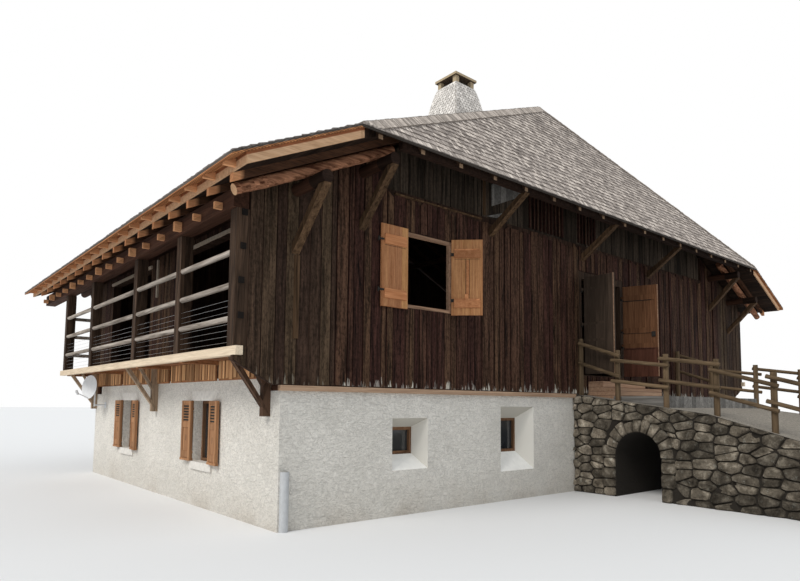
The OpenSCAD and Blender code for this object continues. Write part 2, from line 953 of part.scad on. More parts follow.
module gallery_walls() {
    color("#4a362a")
        both_sides()
            difference() {
                block([left_x, face_y + clad_t, barn_floor_z],
                    [left_x + inner_wall_t, jetty_y - clad_t, side_wall_top]);
                for (v = gallery_doors)
                    block([left_x - 1, front_y + v, floor_z],
                        [left_x + inner_wall_t + 1, front_y + v + gallery_door_w, floor_z + gallery_door_h]);
            }
}

module gallery_decks() {
    color("tan")
        both_sides()
            block([left_x - gallery_reach + rim_beam_t, face_y + clad_t, floor_z - deck_t],
                [left_x, jetty_y + gallery_tail, floor_z]);
}

module gallery_rim_beams() {
    color("wheat")
        both_sides()
            block([left_x - gallery_reach, face_y - rim_over, floor_z - rim_beam_h],
                [left_x - gallery_reach + rim_beam_t, jetty_y + gallery_tail, floor_z]);
}

module gallery_joists() {
    color("peru")
        both_sides()
            for (y = post_places)
                translate([0, front_y + y + post_w / 2, deck_bottom])
                    block([left_x - gallery_reach + rim_beam_t, -joist_w, -joist_h], [left_x, 0, 0]);
}

module gallery_posts() {
    color("#2e211a")
        both_sides()
            for (y = post_places)
                block([left_x - gallery_reach, front_y + y - post_w / 2, floor_z],
                    [left_x - gallery_reach + post_w, front_y + y + post_w / 2, plate_top - plate_h]);
}

module gallery_rails() {
    outer_x = left_x - gallery_reach + rail_d / 2;
    inner_x = left_x - gallery_reach + post_w;
    y_end = front_y + post_places[len(post_places) - 1];
    color("darkgray")
        both_sides()
            for (k = [0:2]) {
                z = rail_z + k * rail_pitch;
                for (i = [0:len(post_places) - 2])
                    translate([outer_x, front_y + post_places[i] + post_w / 2, z])
                        rotate([-90, 0, 0])
                            cylinder(d = rail_d, h = post_places[i + 1] - post_places[i] - post_w, $fn = 24);
                translate([inner_x, y_end, z])
                    rotate([0, 90, 0])
                        cylinder(d = rail_d, h = left_x - inner_x, $fn = 24);
            }
}

module gallery_skirts() {
    color("chocolate")
        both_sides()
            for (i = [0:len(post_places) - 2])
                block([left_x - skirt_t, front_y + post_places[i] + post_w / 2, deck_bottom - skirt_h],
                    [left_x, front_y + post_places[i + 1] + post_w / 2 - joist_w, deck_bottom]);
}

// Old brackets under the gallery: a wall post and two struts up to the gallery beam and the boards
module gallery_brackets() {
    face = left_x - skirt_t - bracket_w;
    rim = left_x - gallery_reach + rim_beam_t;
    h = deck_bottom - bracket_foot_z;
    color("#8a7a66")
        both_sides()
            for (d = bracket_places)
                along_y(front_y + d - bracket_w / 2, front_y + d + bracket_w / 2) {
                    polygon([
                        [face, bracket_foot_z],
                        [left_x, bracket_foot_z],
                        [left_x, deck_bottom - skirt_h - seat],
                        [left_x - skirt_t, deck_bottom - skirt_h - seat],
                        [left_x - skirt_t, deck_bottom],
                        [face, deck_bottom]
                    ]);
                    polygon([
                        [face, bracket_foot_z + h * 0.15],
                        [face, bracket_foot_z + h * 0.15 + strut_t * 1.7],
                        [rim + strut_t * 1.3, deck_bottom],
                        [rim, deck_bottom],
                        [rim, deck_bottom - strut_t / 2]
                    ]);
                    polygon([
                        [face, bracket_foot_z + h * 0.5],
                        [face, bracket_foot_z + h * 0.5 + strut_t * 1.7],
                        [face - h * 0.25, deck_bottom],
                        [face - h * 0.25 - strut_t, deck_bottom]
                    ]);
                }
}

module big_window_frame() {
    color("wheat")
        translate([left_x + big_x, 0, big_z])
            along_y(face_y - frame_out, face_y + clad_t)
                difference() {
                    square([big_w, big_h]);
                    translate([frame_w, frame_w])
                        square([big_w - 2 * frame_w, big_h - 2 * frame_w]);
                }
}

// One big shutter, closed, hung on its left edge at the origin: boards, ledges and hinge blocks
module big_shutter() {
    w = big_w / 2 + big_shutter_over / 2;
    h = big_h + 2 * big_shutter_over;
    block([0, -shutter_gap - big_shutter_t, -big_shutter_over], [w, -shutter_gap, h - big_shutter_over]);
    for (z = [h * 0.1, h * 0.76]) {
        block([w * 0.1, -shutter_gap - big_shutter_t - ledge_t, z],
            [w * 0.9, -shutter_gap - big_shutter_t, z + ledge_h]);
        block([0, -shutter_gap, z], [hinge_w, 0, z + hinge_h]);
    }
}

module big_shutters() {
    y = face_y - frame_out;
    color("sandybrown") {
        translate([left_x + big_x, y, big_z])
            mirror([1, 0, 0])
                big_shutter();
        translate([left_x + big_x + big_w, y, big_z])
            rotate([0, 0, -big_shutter_angle])
                big_shutter();
    }
}

module door_frame() {
    x0 = left_x + door_x;
    color("#4a3426")
        along_y(face_y, face_y + jamb_d)
            difference() {
                panel(x0 - jamb_w, barn_floor_z, x0 + door_w + jamb_w, door_z + door_h + door_lintel_h);
                panel(x0, door_z, x0 + door_w, door_z + door_h);
            }
}

// Hinge pins of one doorway side: a bracket on the post and an upright pin
module pintles(pivot) {
    for (z = hinge_heights) {
        block([pivot[0] - pin_r, pivot_y - pin_r, z - bracket_h], [pivot[0] + pin_r, face_y, z]);
        translate([pivot[0], pivot_y, z])
            cylinder(r = pin_r, h = strap_h + pin_over, $fn = 48);
    }
}

module door_pintles() {
    color("dimgray") {
        pintles([pivot_left[0] - pin_shift, pivot_y]);
        pintles([pivot_right[0] + pin_shift, pivot_y]);
    }
}

// The left leaf, closed, hung on the upright axis at the origin
module closed_leaf() {
    eye_r = pin_r + pin_gap + eye_wall;
    z0 = door_z + leaf_gap;
    z1 = door_z + door_h - leaf_gap;
    inner_y = eye_r + leaf_t;
    block([leaf_gap + pin_shift, eye_r, z0], [leaf_w + pin_shift, inner_y, z1]);
    for (z = hinge_heights) {
        block([leaf_w * 0.08, inner_y, z - ledge_h / 2],
            [leaf_w * 0.94, inner_y + ledge_t, z + ledge_h / 2]);
        difference() {
            union() {
                translate([0, 0, z + seat])
                    cylinder(r = eye_r, h = strap_h, $fn = 48);
                block([0, eye_r - strap_t, z + seat], [leaf_w * 0.7, eye_r, z + seat + strap_h]);
            }
            translate([0, 0, z - 1])
                cylinder(r = pin_r + pin_gap, h = strap_h + 3, $fn = 48);
        }
    }
}

module door_leaf_left() {
    color("dimgray")
        translate([pivot_left[0] - pin_shift, pivot_y, 0])
            rotate([0, 0, -left_open])
                closed_leaf();
}

module door_leaf_right() {
    color("sienna")
        translate([pivot_right[0] + pin_shift, pivot_y, 0])
            rotate([0, 0, right_open])
                mirror([1, 0, 0])
                    closed_leaf();
}

module plates() {
    color("#5a3a28") {
        both_sides()
            block([plate_out, face_y, plate_top - plate_h],
                [plate_out + plate_w, edge_back - purlin_in, plate_top]);
        hip_plate();
        to_far_gable()
            hip_plate();
    }
}

// Beam under the hip rafters, between the middle purlins
module hip_plate() {
    x = left_x + mid_purlin_x + purlin_d / 2 + seat;
    top = hip_surface(edge_front + hip_plate_in) - under_hip;
    block([x, edge_front + hip_plate_in, top - hip_plate_h],
        [-x, edge_front + hip_plate_in + hip_plate_w, top]);
}

module rafters() {
    x0 = -half_w + fascia_in - rafter_foot;
    count = floor((edge_back - edge_front - 2 * rafter_in) / rafter_pitch);
    color("burlywood")
        both_sides()
            within_slope(rafter_w)
                for (i = [0:count])
                    translate([0, rafter_in + i * rafter_pitch, 0])
                        intersection() {
                            slope_layer(x0, under_deck, under_rafter);
                            block([-half_w, edge_front, 0], [-seat, edge_front + rafter_w, big / 2]);
                        }
}

module hip_rafters_front() {
    count = floor(hip_half / hip_rafter_pitch);
    within_hip()
        for (i = [-count:count])
            hip_layer(i * hip_rafter_pitch - rafter_w / 2, i * hip_rafter_pitch + rafter_w / 2,
                edge_front + barge_in, hip_skin_v, under_hip);
}

module hip_rafters() {
    color("saddlebrown") {
        hip_rafters_front();
        to_far_gable()
            hip_rafters_front();
    }
}

// Slanting strut in the YZ plane from a wall up to the underside of a beam
module brace(x, wall_y, foot_z, head_y, head_z) {
    cut = brace_t * 1.4;
    way = head_y > wall_y ? 1 : -1;
    along_x(x - brace_w / 2, x + brace_w / 2)
        polygon([
            [wall_y, foot_z],
            [wall_y, foot_z + cut],
            [head_y - way * cut, head_z],
            [head_y, head_z]
        ]);
}

module gable_braces() {
    low_head = purlin_z(left_x + low_purlin_x) - purlin_d / 2 - seat;
    mid_head = purlin_z(left_x + mid_purlin_x) - purlin_d / 2 - seat;
    hip_head = hip_surface(edge_front + hip_plate_in) - under_hip - hip_plate_h;
    head_y = edge_front + hip_plate_in;
    color("#5d4a38") {
        both_sides() {
            brace(left_x + low_purlin_x, face_y, low_head - brace_rise, head_y + 60, low_head);
            brace(left_x + mid_purlin_x, face_y, mid_head - brace_rise, head_y + 60, mid_head);
            brace(left_x + low_purlin_x, jetty_y, low_head - far_brace_rise,
                jetty_y + far_brace_rise, low_head);
            brace(left_x + mid_purlin_x, jetty_y, mid_head - far_brace_rise,
                jetty_y + far_brace_rise, mid_head);
        }
        for (d = hip_braces) {
            brace(left_x + d, face_y, hip_head - hip_brace_rise, head_y, hip_head);
            brace(left_x + d, jetty_y, hip_head - 2 * far_brace_rise + hip_brace_rise / 2,
                edge_back - hip_plate_in, hip_head);
        }
    }
}

// Log under the left slope between two distances from the ridge
module rake_log(y, upper, lower) {
    translate([0, y, ridge_z - (under_rafter + (rake_log_d / 2 + seat) / cos(main_pitch))])
        rotate([0, 90 + main_pitch, 180])
            translate([0, 0, upper])
                cylinder(d = rake_log_d, h = lower - upper, $fn = 48);
}

module rake_logs() {
    slope_l = half_w / cos(main_pitch);
    foot = slope_l - rake_log_up;
    inside_plate = (-plate_out - plate_w) / cos(main_pitch) - rake_log_d;
    color("saddlebrown")
        both_sides() {
            rake_log(face_y - rake_log_out, foot - rake_log_l, foot);
            rake_log(jetty_y + rake_log_out, foot - rake_log_l, inside_plate);
        }
}

module roof_left() {
    color("dimgray")
        within_slope(0)
            slope_layer(-half_w, 0, skin_v);
}

module roof_right() {
    mirror([1, 0, 0])
        roof_left();
}

module hip_skin() {
    within_hip()
        hip_layer(-hip_half, hip_half, edge_front, 0, hip_skin_v);
}

module hips() {
    color("dimgray") {
        hip_skin();
        to_far_gable()
            hip_skin();
    }
}

module roof_boarding_left() {
    color("chocolate")
        within_slope(barge_in + fascia_t)
            slope_layer(-half_w + fascia_in, skin_v, under_deck);
}

module roof_boarding_right() {
    mirror([1, 0, 0])
        roof_boarding_left();
}

module edge_boards() {
    x1 = -half_w + fascia_in;
    x0 = x1 - fascia_t;
    color("burlywood")
        both_sides() {
            along_y(edge_front + barge_in, edge_back - barge_in)
                polygon([
                    [x0, roof_z(x0) - skin_v - hair],
                    [x1, roof_z(x1) - skin_v - hair],
                    [x1, roof_z(x1) - under_deck],
                    [x0, roof_z(x1) - under_deck]
                ]);
            for (y = [edge_front + barge_in, edge_back - barge_in - fascia_t])
                within_slope(barge_in)
                    intersection() {
                        slope_layer(x1, skin_v + hair, under_deck);
                        block([x1, y, 0], [-hip_half + rake_extra, y + fascia_t, big / 2]);
                    }
        }
}

module eave_tails() {
    x1 = -half_w + fascia_in - fascia_t;
    x0 = -half_w + tail_in;
    skin_count = floor((edge_back - edge_front - 2 * barge_in) / tail_pitch);
    tie_count = floor((edge_back - purlin_in - tie_h * tie_big - front_y - tie_start) / tie_pitch);
    color("peru")
        both_sides() {
            for (i = [0:skin_count - 1])
                along_y(edge_front + barge_in + (i + 0.5) * tail_pitch - tail_w / 2,
                    edge_front + barge_in + (i + 0.5) * tail_pitch + tail_w / 2)
                    polygon([
                        [x0, roof_z(x0) - skin_v - hair],
                        [x1, roof_z(x1) - skin_v - hair],
                        [x1, roof_z(x1) - skin_v - tail_h],
                        [x0, roof_z(x0) - skin_v - tail_h / 3]
                    ]);
            for (i = [0:tie_count]) {
                grow = i % 3 == 2 ? tie_big : 1;
                translate([plate_out, front_y + tie_start + i * tie_pitch, plate_top - plate_h + tie_up])
                    block([-tie_reach, 0, 0], [0, tie_w * grow, tie_h * grow]);
            }
        }
}

// Half outline of the stack: it flares in a slight bow from the top down to the foot
module stack_outline() {
    side = [for (i = [0:stack_steps])
        let (t = i / stack_steps)
        [stack_top_w / 2 + (stack_foot_w - stack_top_w) / 2 * pow(t, stack_bow), stack_top_z - stack_h * t]];
    polygon(concat(side, [for (i = [stack_steps:-1:0]) [-side[i][0], side[i][1]]]));
}

module chimney_stack() {
    y = front_y + chimney_y;
    color("silver")
        difference() {
            intersection() {
                translate([-chimney_x, 0, 0])
                    along_y(y - stack_foot_w, y + stack_foot_w)
                        stack_outline();
                translate([0, y, 0])
                    along_x(-chimney_x - stack_foot_w, -chimney_x + stack_foot_w)
                        stack_outline();
            }
            along_y(y - stack_foot_w, y + stack_foot_w)
                polygon([[-half_w, eave_z], [0, ridge_z], [half_w, eave_z], [half_w, 0], [-half_w, 0]]);
            translate([-chimney_x - flue_w / 2, y - flue_w / 2, 0])
                cube([flue_w, flue_w, big]);
        }
}

module chimney_cap() {
    y = front_y + chimney_y;
    half = stack_top_w / 2;
    color("tan") {
        for (i = [-1, 1], j = [-1, 1])
            translate([-chimney_x + i * (half - pillar_w / 2), y + j * (half - pillar_w / 2), stack_top_z])
                block([-pillar_w / 2, -pillar_w / 2, 0], [pillar_w / 2, pillar_w / 2, pillar_h]);
        block([-chimney_x - half - cap_reach, y - half - cap_reach, stack_top_z + pillar_h],
            [-chimney_x + half + cap_reach, y + half + cap_reach, stack_top_z + pillar_h + cap_t]);
    }
}

// Side outline of the ramp in Y and Z, from the gable down to its foot
module ramp_outline() {
    translate([front_y, 0])
        polygon([
            [0, 0],
            [0, ramp_z],
            [-ramp_flat_l, ramp_knee_z],
            [-ramp_l, ramp_foot_z],
            [-ramp_l, 0]
        ]);
}

module ramp_bridge() {
    color("gray")
        along_x(left_x + ramp_x, left_x + ramp_x + ramp_w)
            difference() {
                ramp_outline();
                translate([front_y - arch_y - arch_w, -1])
                    square([arch_w, arch_spring_z + 1]);
                translate([front_y - arch_y - arch_w / 2, arch_spring_z])
                    circle(d = arch_w, $fn = 64);
            }
}

module ramp_steps() {
    rise = (door_z - ramp_z) / (step_count + 1);
    color("indianred")
        along_x(left_x + step_x, left_x + step_x + step_l)
            difference() {
                for (k = [1:step_count])
                    translate([front_y - clad_proud - k * step_run, ramp_top(step_count * step_run)])
                        square([k * step_run, ramp_z + rise * (step_count + 1 - k)
                            - ramp_top(step_count * step_run)]);
                ramp_outline();
            }
}

// Places what is drawn for x = 0 in line with the fences, its outer side at -x
module at_fences() {
    translate([left_x + ramp_x + fence_in, 0, 0])
        children();
    translate([left_x + ramp_x + ramp_w - fence_in, 0, 0])
        mirror([1, 0, 0])
            children();
}

// The posts of one fence, grown by grow in diameter
module posts_at(grow) {
    for (i = [0:fence_count - 1])
        translate([0, front_y - fence_d(i), ramp_top(fence_d(i)) - fence_post_d])
            cylinder(
                d = fence_post_d + grow,
                h = fence_post_d + fence_post_h + (i == 0 ? fence_lead : 0),
                $fn = 24
            );
}

module fence_posts() {
    color("darkkhaki")
        at_fences()
            difference() {
                posts_at(0);
                along_x(-fence_post_d, fence_post_d)
                    ramp_outline();
            }
}

// One length of rail between two posts, at a height above the ramp
module fence_rail(i, height) {
    z0 = ramp_top(fence_d(i)) + height + (i == 0 ? fence_lead : 0);
    z1 = ramp_top(fence_d(i + 1)) + height;
    run = fence_d(i + 1) - fence_d(i);
    slope = atan2(z0 - z1, run);
    translate([-(fence_post_d + fence_rail_d) / 2 * 0.85, front_y - fence_d(i), z0])
        rotate([90 + slope, 0, 0])
            translate([0, 0, i == 0 ? 0 : -fence_rail_over])
                cylinder(
                    d = fence_rail_d,
                    h = run / cos(slope) + fence_rail_over * (i == 0 ? 1 : 2),
                    $fn = 24
                );
}

module fence_rails() {
    color("darkkhaki")
        at_fences()
            difference() {
                for (i = [0:fence_count - 2], drop = [0, fence_rail_drop])
                    fence_rail(i, fence_rail_top - drop - (i % 2) * fence_rail_lap);
                posts_at(2 * hair);
            }
}

// Level landing between the fences, from the steps out
module ramp_landing() {
    d0 = clad_proud + step_count * step_run;
    d1 = d0 + landing_l;
    top = ramp_top(d0) + landing_h;
    side = fence_in + fence_post_d / 2 + seat;
    color("darkgray")
        along_x(left_x + ramp_x + side, left_x + ramp_x + ramp_w - side)
            polygon([
                [front_y - d0, ramp_top(d0) + hair],
                [front_y - d0, top],
                [front_y - d1, top],
                [front_y - d1, ramp_top(d1) + hair]
            ]);
}

// Dish with its hub and feed, drawn round an axis along Z, its mouth up and its foot to +X
module dish_bowl(hub) {
    steps = 6;
    outer = [for (i = [0:steps]) [dish_d / 2 * i / steps, dish_deep * pow(i / steps, 2)]];
    inner = [for (i = [steps:-1:0]) [outer[i][0], outer[i][1] + dish_t]];
    rotate_extrude($fn = 48)
        polygon(concat(outer, inner));
    translate([0, 0, -hub])
        cylinder(d = mast_d, h = hub + dish_t / 2, $fn = 24);
    translate([dish_d * 0.47, 0, dish_deep * 0.9])
        rotate([0, -16, 0]) {
            cylinder(d = mast_d * 0.6, h = dish_d * 0.62, $fn = 24);
            translate([-mast_d * 0.4, 0, dish_d * 0.55])
                rotate([0, -40, 0])
                    cylinder(d = mast_d * 1.6, h = dish_d * 0.2, center = true, $fn = 24);
        }
}

module aerial_dish() {
    turn = 20;
    tilt = 6;
    hub = dish_d * 0.18;
    foot = dish_d * 0.75;
    wall = dish_out - hub * cos(tilt) * cos(turn) - seat;
    color("gainsboro")
        translate([left_x - dish_out, back_y - dish_in, dish_z]) {
            rotate([0, 0, 180 + turn])
                rotate([0, 90 - tilt, 0])
                    dish_bowl(hub);
            translate([hub * cos(tilt) * cos(turn), hub * cos(tilt) * sin(turn), -foot]) {
                translate([0, 0, -mast_d])
                    cylinder(d = mast_d, h = foot + 2 * mast_d, $fn = 24);
                rotate([0, 90, 0])
                    cylinder(d = mast_d, h = wall, $fn = 24);
                block([wall - mast_d / 5, -2 * mast_d, -2 * mast_d], [wall, 2 * mast_d, 2 * mast_d]);
            }
        }
}

module corner_cover() {
    color("silver")
        translate([left_x + cover_in + cover_w / 2, front_y - seat, 0])
            linear_extrude(cover_h)
                intersection() {
                    difference() {
                        circle(d = cover_w, $fn = 48);
                        circle(d = cover_w * 0.9, $fn = 48);
                    }
                    translate([-cover_w / 2, -cover_w])
                        square([cover_w, cover_w]);
                }
}

ground_slab();
masonry_ramp_gable();
masonry_sides();
masonry_far_gable();
window_splays();
window_frames();
window_panes();
window_shutters();
window_stones();
sill_boards();
floor_sills();
upper_floor();
gable_boards_left();
gable_boards_right();
gable_boards_at_door();
gable_upper_boards();
far_gable_boards();
gallery_walls();
gallery_decks();
gallery_rim_beams();
gallery_joists();
gallery_posts();
gallery_rails();
gallery_skirts();
gallery_brackets();
big_window_frame();
big_shutters();
door_frame();
door_pintles();
door_leaf_left();
door_leaf_right();
plates();
purlins();
rafters();
hip_rafters();
gable_braces();
rake_logs();
roof_left();
roof_right();
hips();
roof_boarding_left();
roof_boarding_right();
edge_boards();
eave_tails();
chimney_stack();
chimney_cap();
ramp_bridge();
ramp_steps();
ramp_landing();
fence_posts();
fence_rails();
aerial_dish();
corner_cover();
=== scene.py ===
"""Looks of the alpine chalet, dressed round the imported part. Metres, Z up, in the part's own frame."""
import random
from math import copysign, cos, hypot, pi, radians, sin, tan

import bpy
from mathutils import Matrix, Vector


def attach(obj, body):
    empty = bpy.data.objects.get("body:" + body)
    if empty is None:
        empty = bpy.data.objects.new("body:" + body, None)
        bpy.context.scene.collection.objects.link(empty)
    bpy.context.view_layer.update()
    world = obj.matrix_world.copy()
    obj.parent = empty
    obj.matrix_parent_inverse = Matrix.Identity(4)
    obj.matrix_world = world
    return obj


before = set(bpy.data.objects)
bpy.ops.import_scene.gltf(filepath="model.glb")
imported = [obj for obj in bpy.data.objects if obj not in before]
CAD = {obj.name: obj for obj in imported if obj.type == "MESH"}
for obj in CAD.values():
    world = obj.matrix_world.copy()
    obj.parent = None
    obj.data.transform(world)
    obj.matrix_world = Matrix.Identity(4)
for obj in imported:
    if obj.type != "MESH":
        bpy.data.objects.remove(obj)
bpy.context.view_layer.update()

# Walls, floors and posts
WALL_HALF, BACK = 8.6, 5.4
FACE, CLAD_BACK, JETTY = -5.44, -5.37, 5.7
SILL_TOP, FLOOR_Z, PLATE_Z = 2.34, 2.92, 5.47
BAND_Z, BAND_HALF = 6.09, 6.47
SILL_HALF, POST_IN, BEAM_IN, RIM = 8.76, 9.24, 9.34, 9.46
POSTS = (-5.33, -3.07, -0.6, 2.83, 5.59)
POST_HALF = 0.11

# The roof, by its pitches and edges
PITCH, HIP_PITCH = radians(25.44), radians(55.8)
HALF_W, HIP_HALF, EAVE_Z = 10.1, 7.92, 5.46
EDGE_FRONT, EDGE_BACK = -6.6, 8.43
ROOF_MID = (EDGE_FRONT + EDGE_BACK) / 2
RIDGE_Z = EAVE_Z + HALF_W * tan(PITCH)
HIP_Z = EAVE_Z + (HALF_W - HIP_HALF) * tan(PITCH)
HIP_RUN = (RIDGE_Z - HIP_Z) / tan(HIP_PITCH)
HIP_LENGTH = HIP_RUN / cos(HIP_PITCH)
UNDER_RAFTER, UNDER_HIP = 0.35, 0.19


def roof_z(x):
    """Height of the long slopes at x."""
    return EAVE_Z + (HALF_W - abs(x)) * tan(PITCH)


def toned(colour, share):
    """A colour made darker or lighter, no channel past one."""
    return [min(1.0, c * share) for c in colour]


class Tree:
    """A material and its nodes."""

    def __init__(self, name, rough, specular=0.25):
        self.mat = bpy.data.materials.new(name)
        self.mat.use_nodes = True
        self.nodes = self.mat.node_tree.nodes
        self.links = self.mat.node_tree.links
        self.shader = self.nodes["Principled BSDF"]
        self.shader.inputs["Roughness"].default_value = rough
        self.shader.inputs["Specular IOR Level"].default_value = specular
        self.place = self.add("TexCoord").outputs["Object"]

    def add(self, kind, **values):
        node = self.nodes.new("ShaderNode" + kind)
        for key, value in values.items():
            setattr(node, key, value)
        return node

    def feed(self, node, **inputs):
        """Sets or links inputs by name, with underscores for spaces, or by number as i0 or i1."""
        for key, value in inputs.items():
            numbered = key[0] == "i" and key[1:].isdigit()
            socket = node.inputs[int(key[1:]) if numbered else key.replace("_", " ")]
            if isinstance(value, bpy.types.NodeSocket):
                self.links.new(value, socket)
            else:
                socket.default_value = value
        return node

    def math(self, op, a, b=0.0):
        return self.feed(self.add("Math", operation=op), i0=a, i1=b).outputs[0]

    def scaled(self, scale):
        """The place, stretched along each axis."""
        return self.feed(self.add("Mapping"), Vector=self.place, Scale=scale).outputs[0]

    def noise(self, vector, scale, detail=3.0, rough=0.55, bend=0.0):
        node = self.add("TexNoise")
        self.feed(node, Vector=vector, Scale=scale, Detail=detail, Roughness=rough, Distortion=bend)
        return node.outputs["Fac"]

    def cells(self, vector, scale):
        return self.feed(self.add("TexVoronoi"), Vector=vector, Scale=scale).outputs["Distance"]

    def ramp(self, fac, stops):
        node = self.feed(self.add("ValToRGB"), Fac=fac)
        points = node.color_ramp.elements
        while len(points) < len(stops):
            points.new(0.5)
        for point, (at, colour) in zip(points, stops):
            point.position = at
            point.color = (*colour, 1)
        return node.outputs["Color"]

    def span(self, value, low, high, to_low=0.0, to_high=1.0):
        """A value carried from one range to another, held within it."""
        node = self.add("MapRange", clamp=True)
        self.feed(node, Value=value, From_Min=low, From_Max=high, To_Min=to_low, To_Max=to_high)
        return node.outputs[0]

    def mix(self, fac, a, b):
        a, b = [c if isinstance(c, bpy.types.NodeSocket) else (*c, 1) for c in (a, b)]
        return self.feed(self.add("Mix", data_type="RGBA"), i0=fac, i6=a, i7=b).outputs[2]

    def axis(self, index):
        return self.feed(self.add("SeparateXYZ"), Vector=self.place).outputs[index]

    def blended(self, a, share_a, b, share_b):
        return self.math("ADD", self.math("MULTIPLY", a, share_a), self.math("MULTIPLY", b, share_b))

    def from_ridge(self):
        return self.math("ABSOLUTE", self.axis(0))

    def under_roof(self):
        """Depth under the long slopes."""
        drop = self.math("MULTIPLY", self.from_ridge(), tan(PITCH))
        return self.math("SUBTRACT", self.math("SUBTRACT", RIDGE_Z, drop), self.axis(2))

    def tint(self):
        """The tint of a face, which Kit keeps less a half."""
        return self.math("ADD", self.add("Attribute", attribute_name="tint").outputs["Fac"], 0.5)

    def shaded(self, colour, value, hue=0.5):
        return self.feed(self.add("HueSaturation"), Color=colour, Value=value, Hue=hue).outputs[0]

    def island(self):
        return self.add("NewGeometry").outputs["Random Per Island"]

    def done(self, colour, height=None, depth=0.01):
        self.links.new(colour, self.shader.inputs["Base Color"])
        if height is not None:
            bump = self.feed(self.add("Bump"), Height=height, Distance=depth, Strength=1.0)
            self.links.new(bump.outputs[0], self.shader.inputs["Normal"])
        return self.mat


def drawn_boards(t, axis, width):
    """A number for each board of a width along an axis, and the joints between them."""
    place = t.math("DIVIDE", t.axis(axis), width)
    white = t.add("TexWhiteNoise", noise_dimensions="1D")
    pick = t.feed(white, W=t.math("FLOOR", place)).outputs["Value"]
    edge = t.math("MULTIPLY", t.math("PINGPONG", place, 0.5), width)
    return pick, t.span(edge, 0.002, 0.006, 1.0, 0.0)


def wood(name, dark, light, grain=2, plank=None, tinted=0, spread=0.3, bleach=None,
         depth=0.006, hue=0.0, sharp=0.26, zone=None, mottle=0.0):
    """Wood, toned by face tint if tinted, else by piece. plank is (axis, width) of boards drawn on a plain
    face, zone (share of a second wood, its dark, its light), bleach (foot, top, colour) of pale flames
    from the foot, and mottle the strength of spots."""
    t = Tree(name, 0.8, 0.08)
    along = [0.9 if axis == grain else 16.0 for axis in range(3)]
    fine = [3.0 if axis == grain else 95.0 for axis in range(3)]
    pick, joint = drawn_boards(t, *plank) if plank else (t.tint() if tinted else t.island(), None)
    moves = [t.math("MULTIPLY", pick, far) for far in (37.0, 23.0, 11.0)]
    shift = t.feed(t.add("CombineXYZ"), X=moves[0], Y=moves[1], Z=moves[2]).outputs[0]
    moved = t.feed(t.add("VectorMath", operation="ADD"), i0=t.scaled(along), i1=shift).outputs[0]
    figure = t.noise(moved, 1.0, 5.0, 0.62, 0.6)
    fibre = t.noise(t.scaled(fine), 1.0)
    knots = t.cells(t.scaled([v * 0.32 for v in along]), 1.0)

    def grown(first, last):
        middle = [(a + b) / 2 for a, b in zip(first, last)]
        return t.ramp(figure, [(0.5 - sharp, first), (0.5, middle), (0.5 + sharp, last)])

    colour = grown(dark, light)
    if zone:
        colour = t.mix(zone[0](t), colour, grown(*zone[1:]))
    colour = t.mix(t.span(knots, 0.02, 0.09, 0.75, 0.0), colour, toned(dark, 0.45))
    colour = t.mix(t.span(fibre, 0.35, 0.62, 0.28, 0.0), colour, toned(dark, 0.5))
    if mottle:
        spots = t.noise(t.scaled([26.0, 26.0, 13.0]), 1.0, 5.0, 0.7)
        colour = t.mix(t.span(spots, 0.36, 0.52, mottle, 0.0), colour, toned(dark, 0.4))
        colour = t.mix(t.span(spots, 0.56, 0.72, 0.0, mottle * 0.5), colour, toned(light, 1.5))
    if bleach:
        low, high, pale = bleach
        streak = t.noise(t.scaled([13.0, 13.0, 1.8]), 1.0, 4.0, 0.7)
        flame = t.math("SUBTRACT", streak, t.span(t.axis(2), low, high, 0.0, 0.32))
        colour = t.mix(t.span(flame, 0.47, 0.53, 0.0, 0.8), colour, pale)
    value = t.span(pick, 0.0, 1.0, 1.0 - spread, 1.0 + spread)
    colour = t.shaded(colour, value, t.span(pick, 0.0, 1.0, 0.5 - hue, 0.5 + hue))
    height = t.blended(fibre, 0.5, figure, 0.6)
    if joint is not None:
        colour = t.mix(t.math("MULTIPLY", joint, 0.85), colour, toned(dark, 0.2))
        height = t.math("SUBTRACT", height, joint)
    return t.done(colour, height, depth)


def render_coat(name, base, damp, soil):
    """Rough lime render with trowel dabs, cool stains and a soiled foot."""
    t = Tree(name, 0.95)
    broad = t.noise(t.place, 0.9, 5.0, 0.6)
    middle = t.noise(t.place, 7.0, 4.0, 0.6)
    dabs = t.noise(t.scaled((12.0, 12.0, 20.0)), 1.0, 3.0, 0.6, 1.9)
    grit = t.noise(t.place, 75.0, 2.0)
    colour = t.ramp(broad, [(0.3, damp), (0.55, base), (0.8, toned(base, 1.06))])
    colour = t.mix(t.span(middle, 0.35, 0.5, 0.16, 0.0), colour, toned(damp, 0.78))
    colour = t.mix(t.span(dabs, 0.4, 0.54, 0.55, 0.0), colour, toned(base, 0.64))
    foot = t.math("MULTIPLY", t.span(t.axis(2), 0.05, 0.75, 1.0, 0.0), t.span(broad, 0.35, 0.7))
    colour = t.mix(t.math("MULTIPLY", foot, 0.55), colour, soil)
    return t.done(colour, t.blended(dabs, 0.8, grit, 0.25), 0.05)


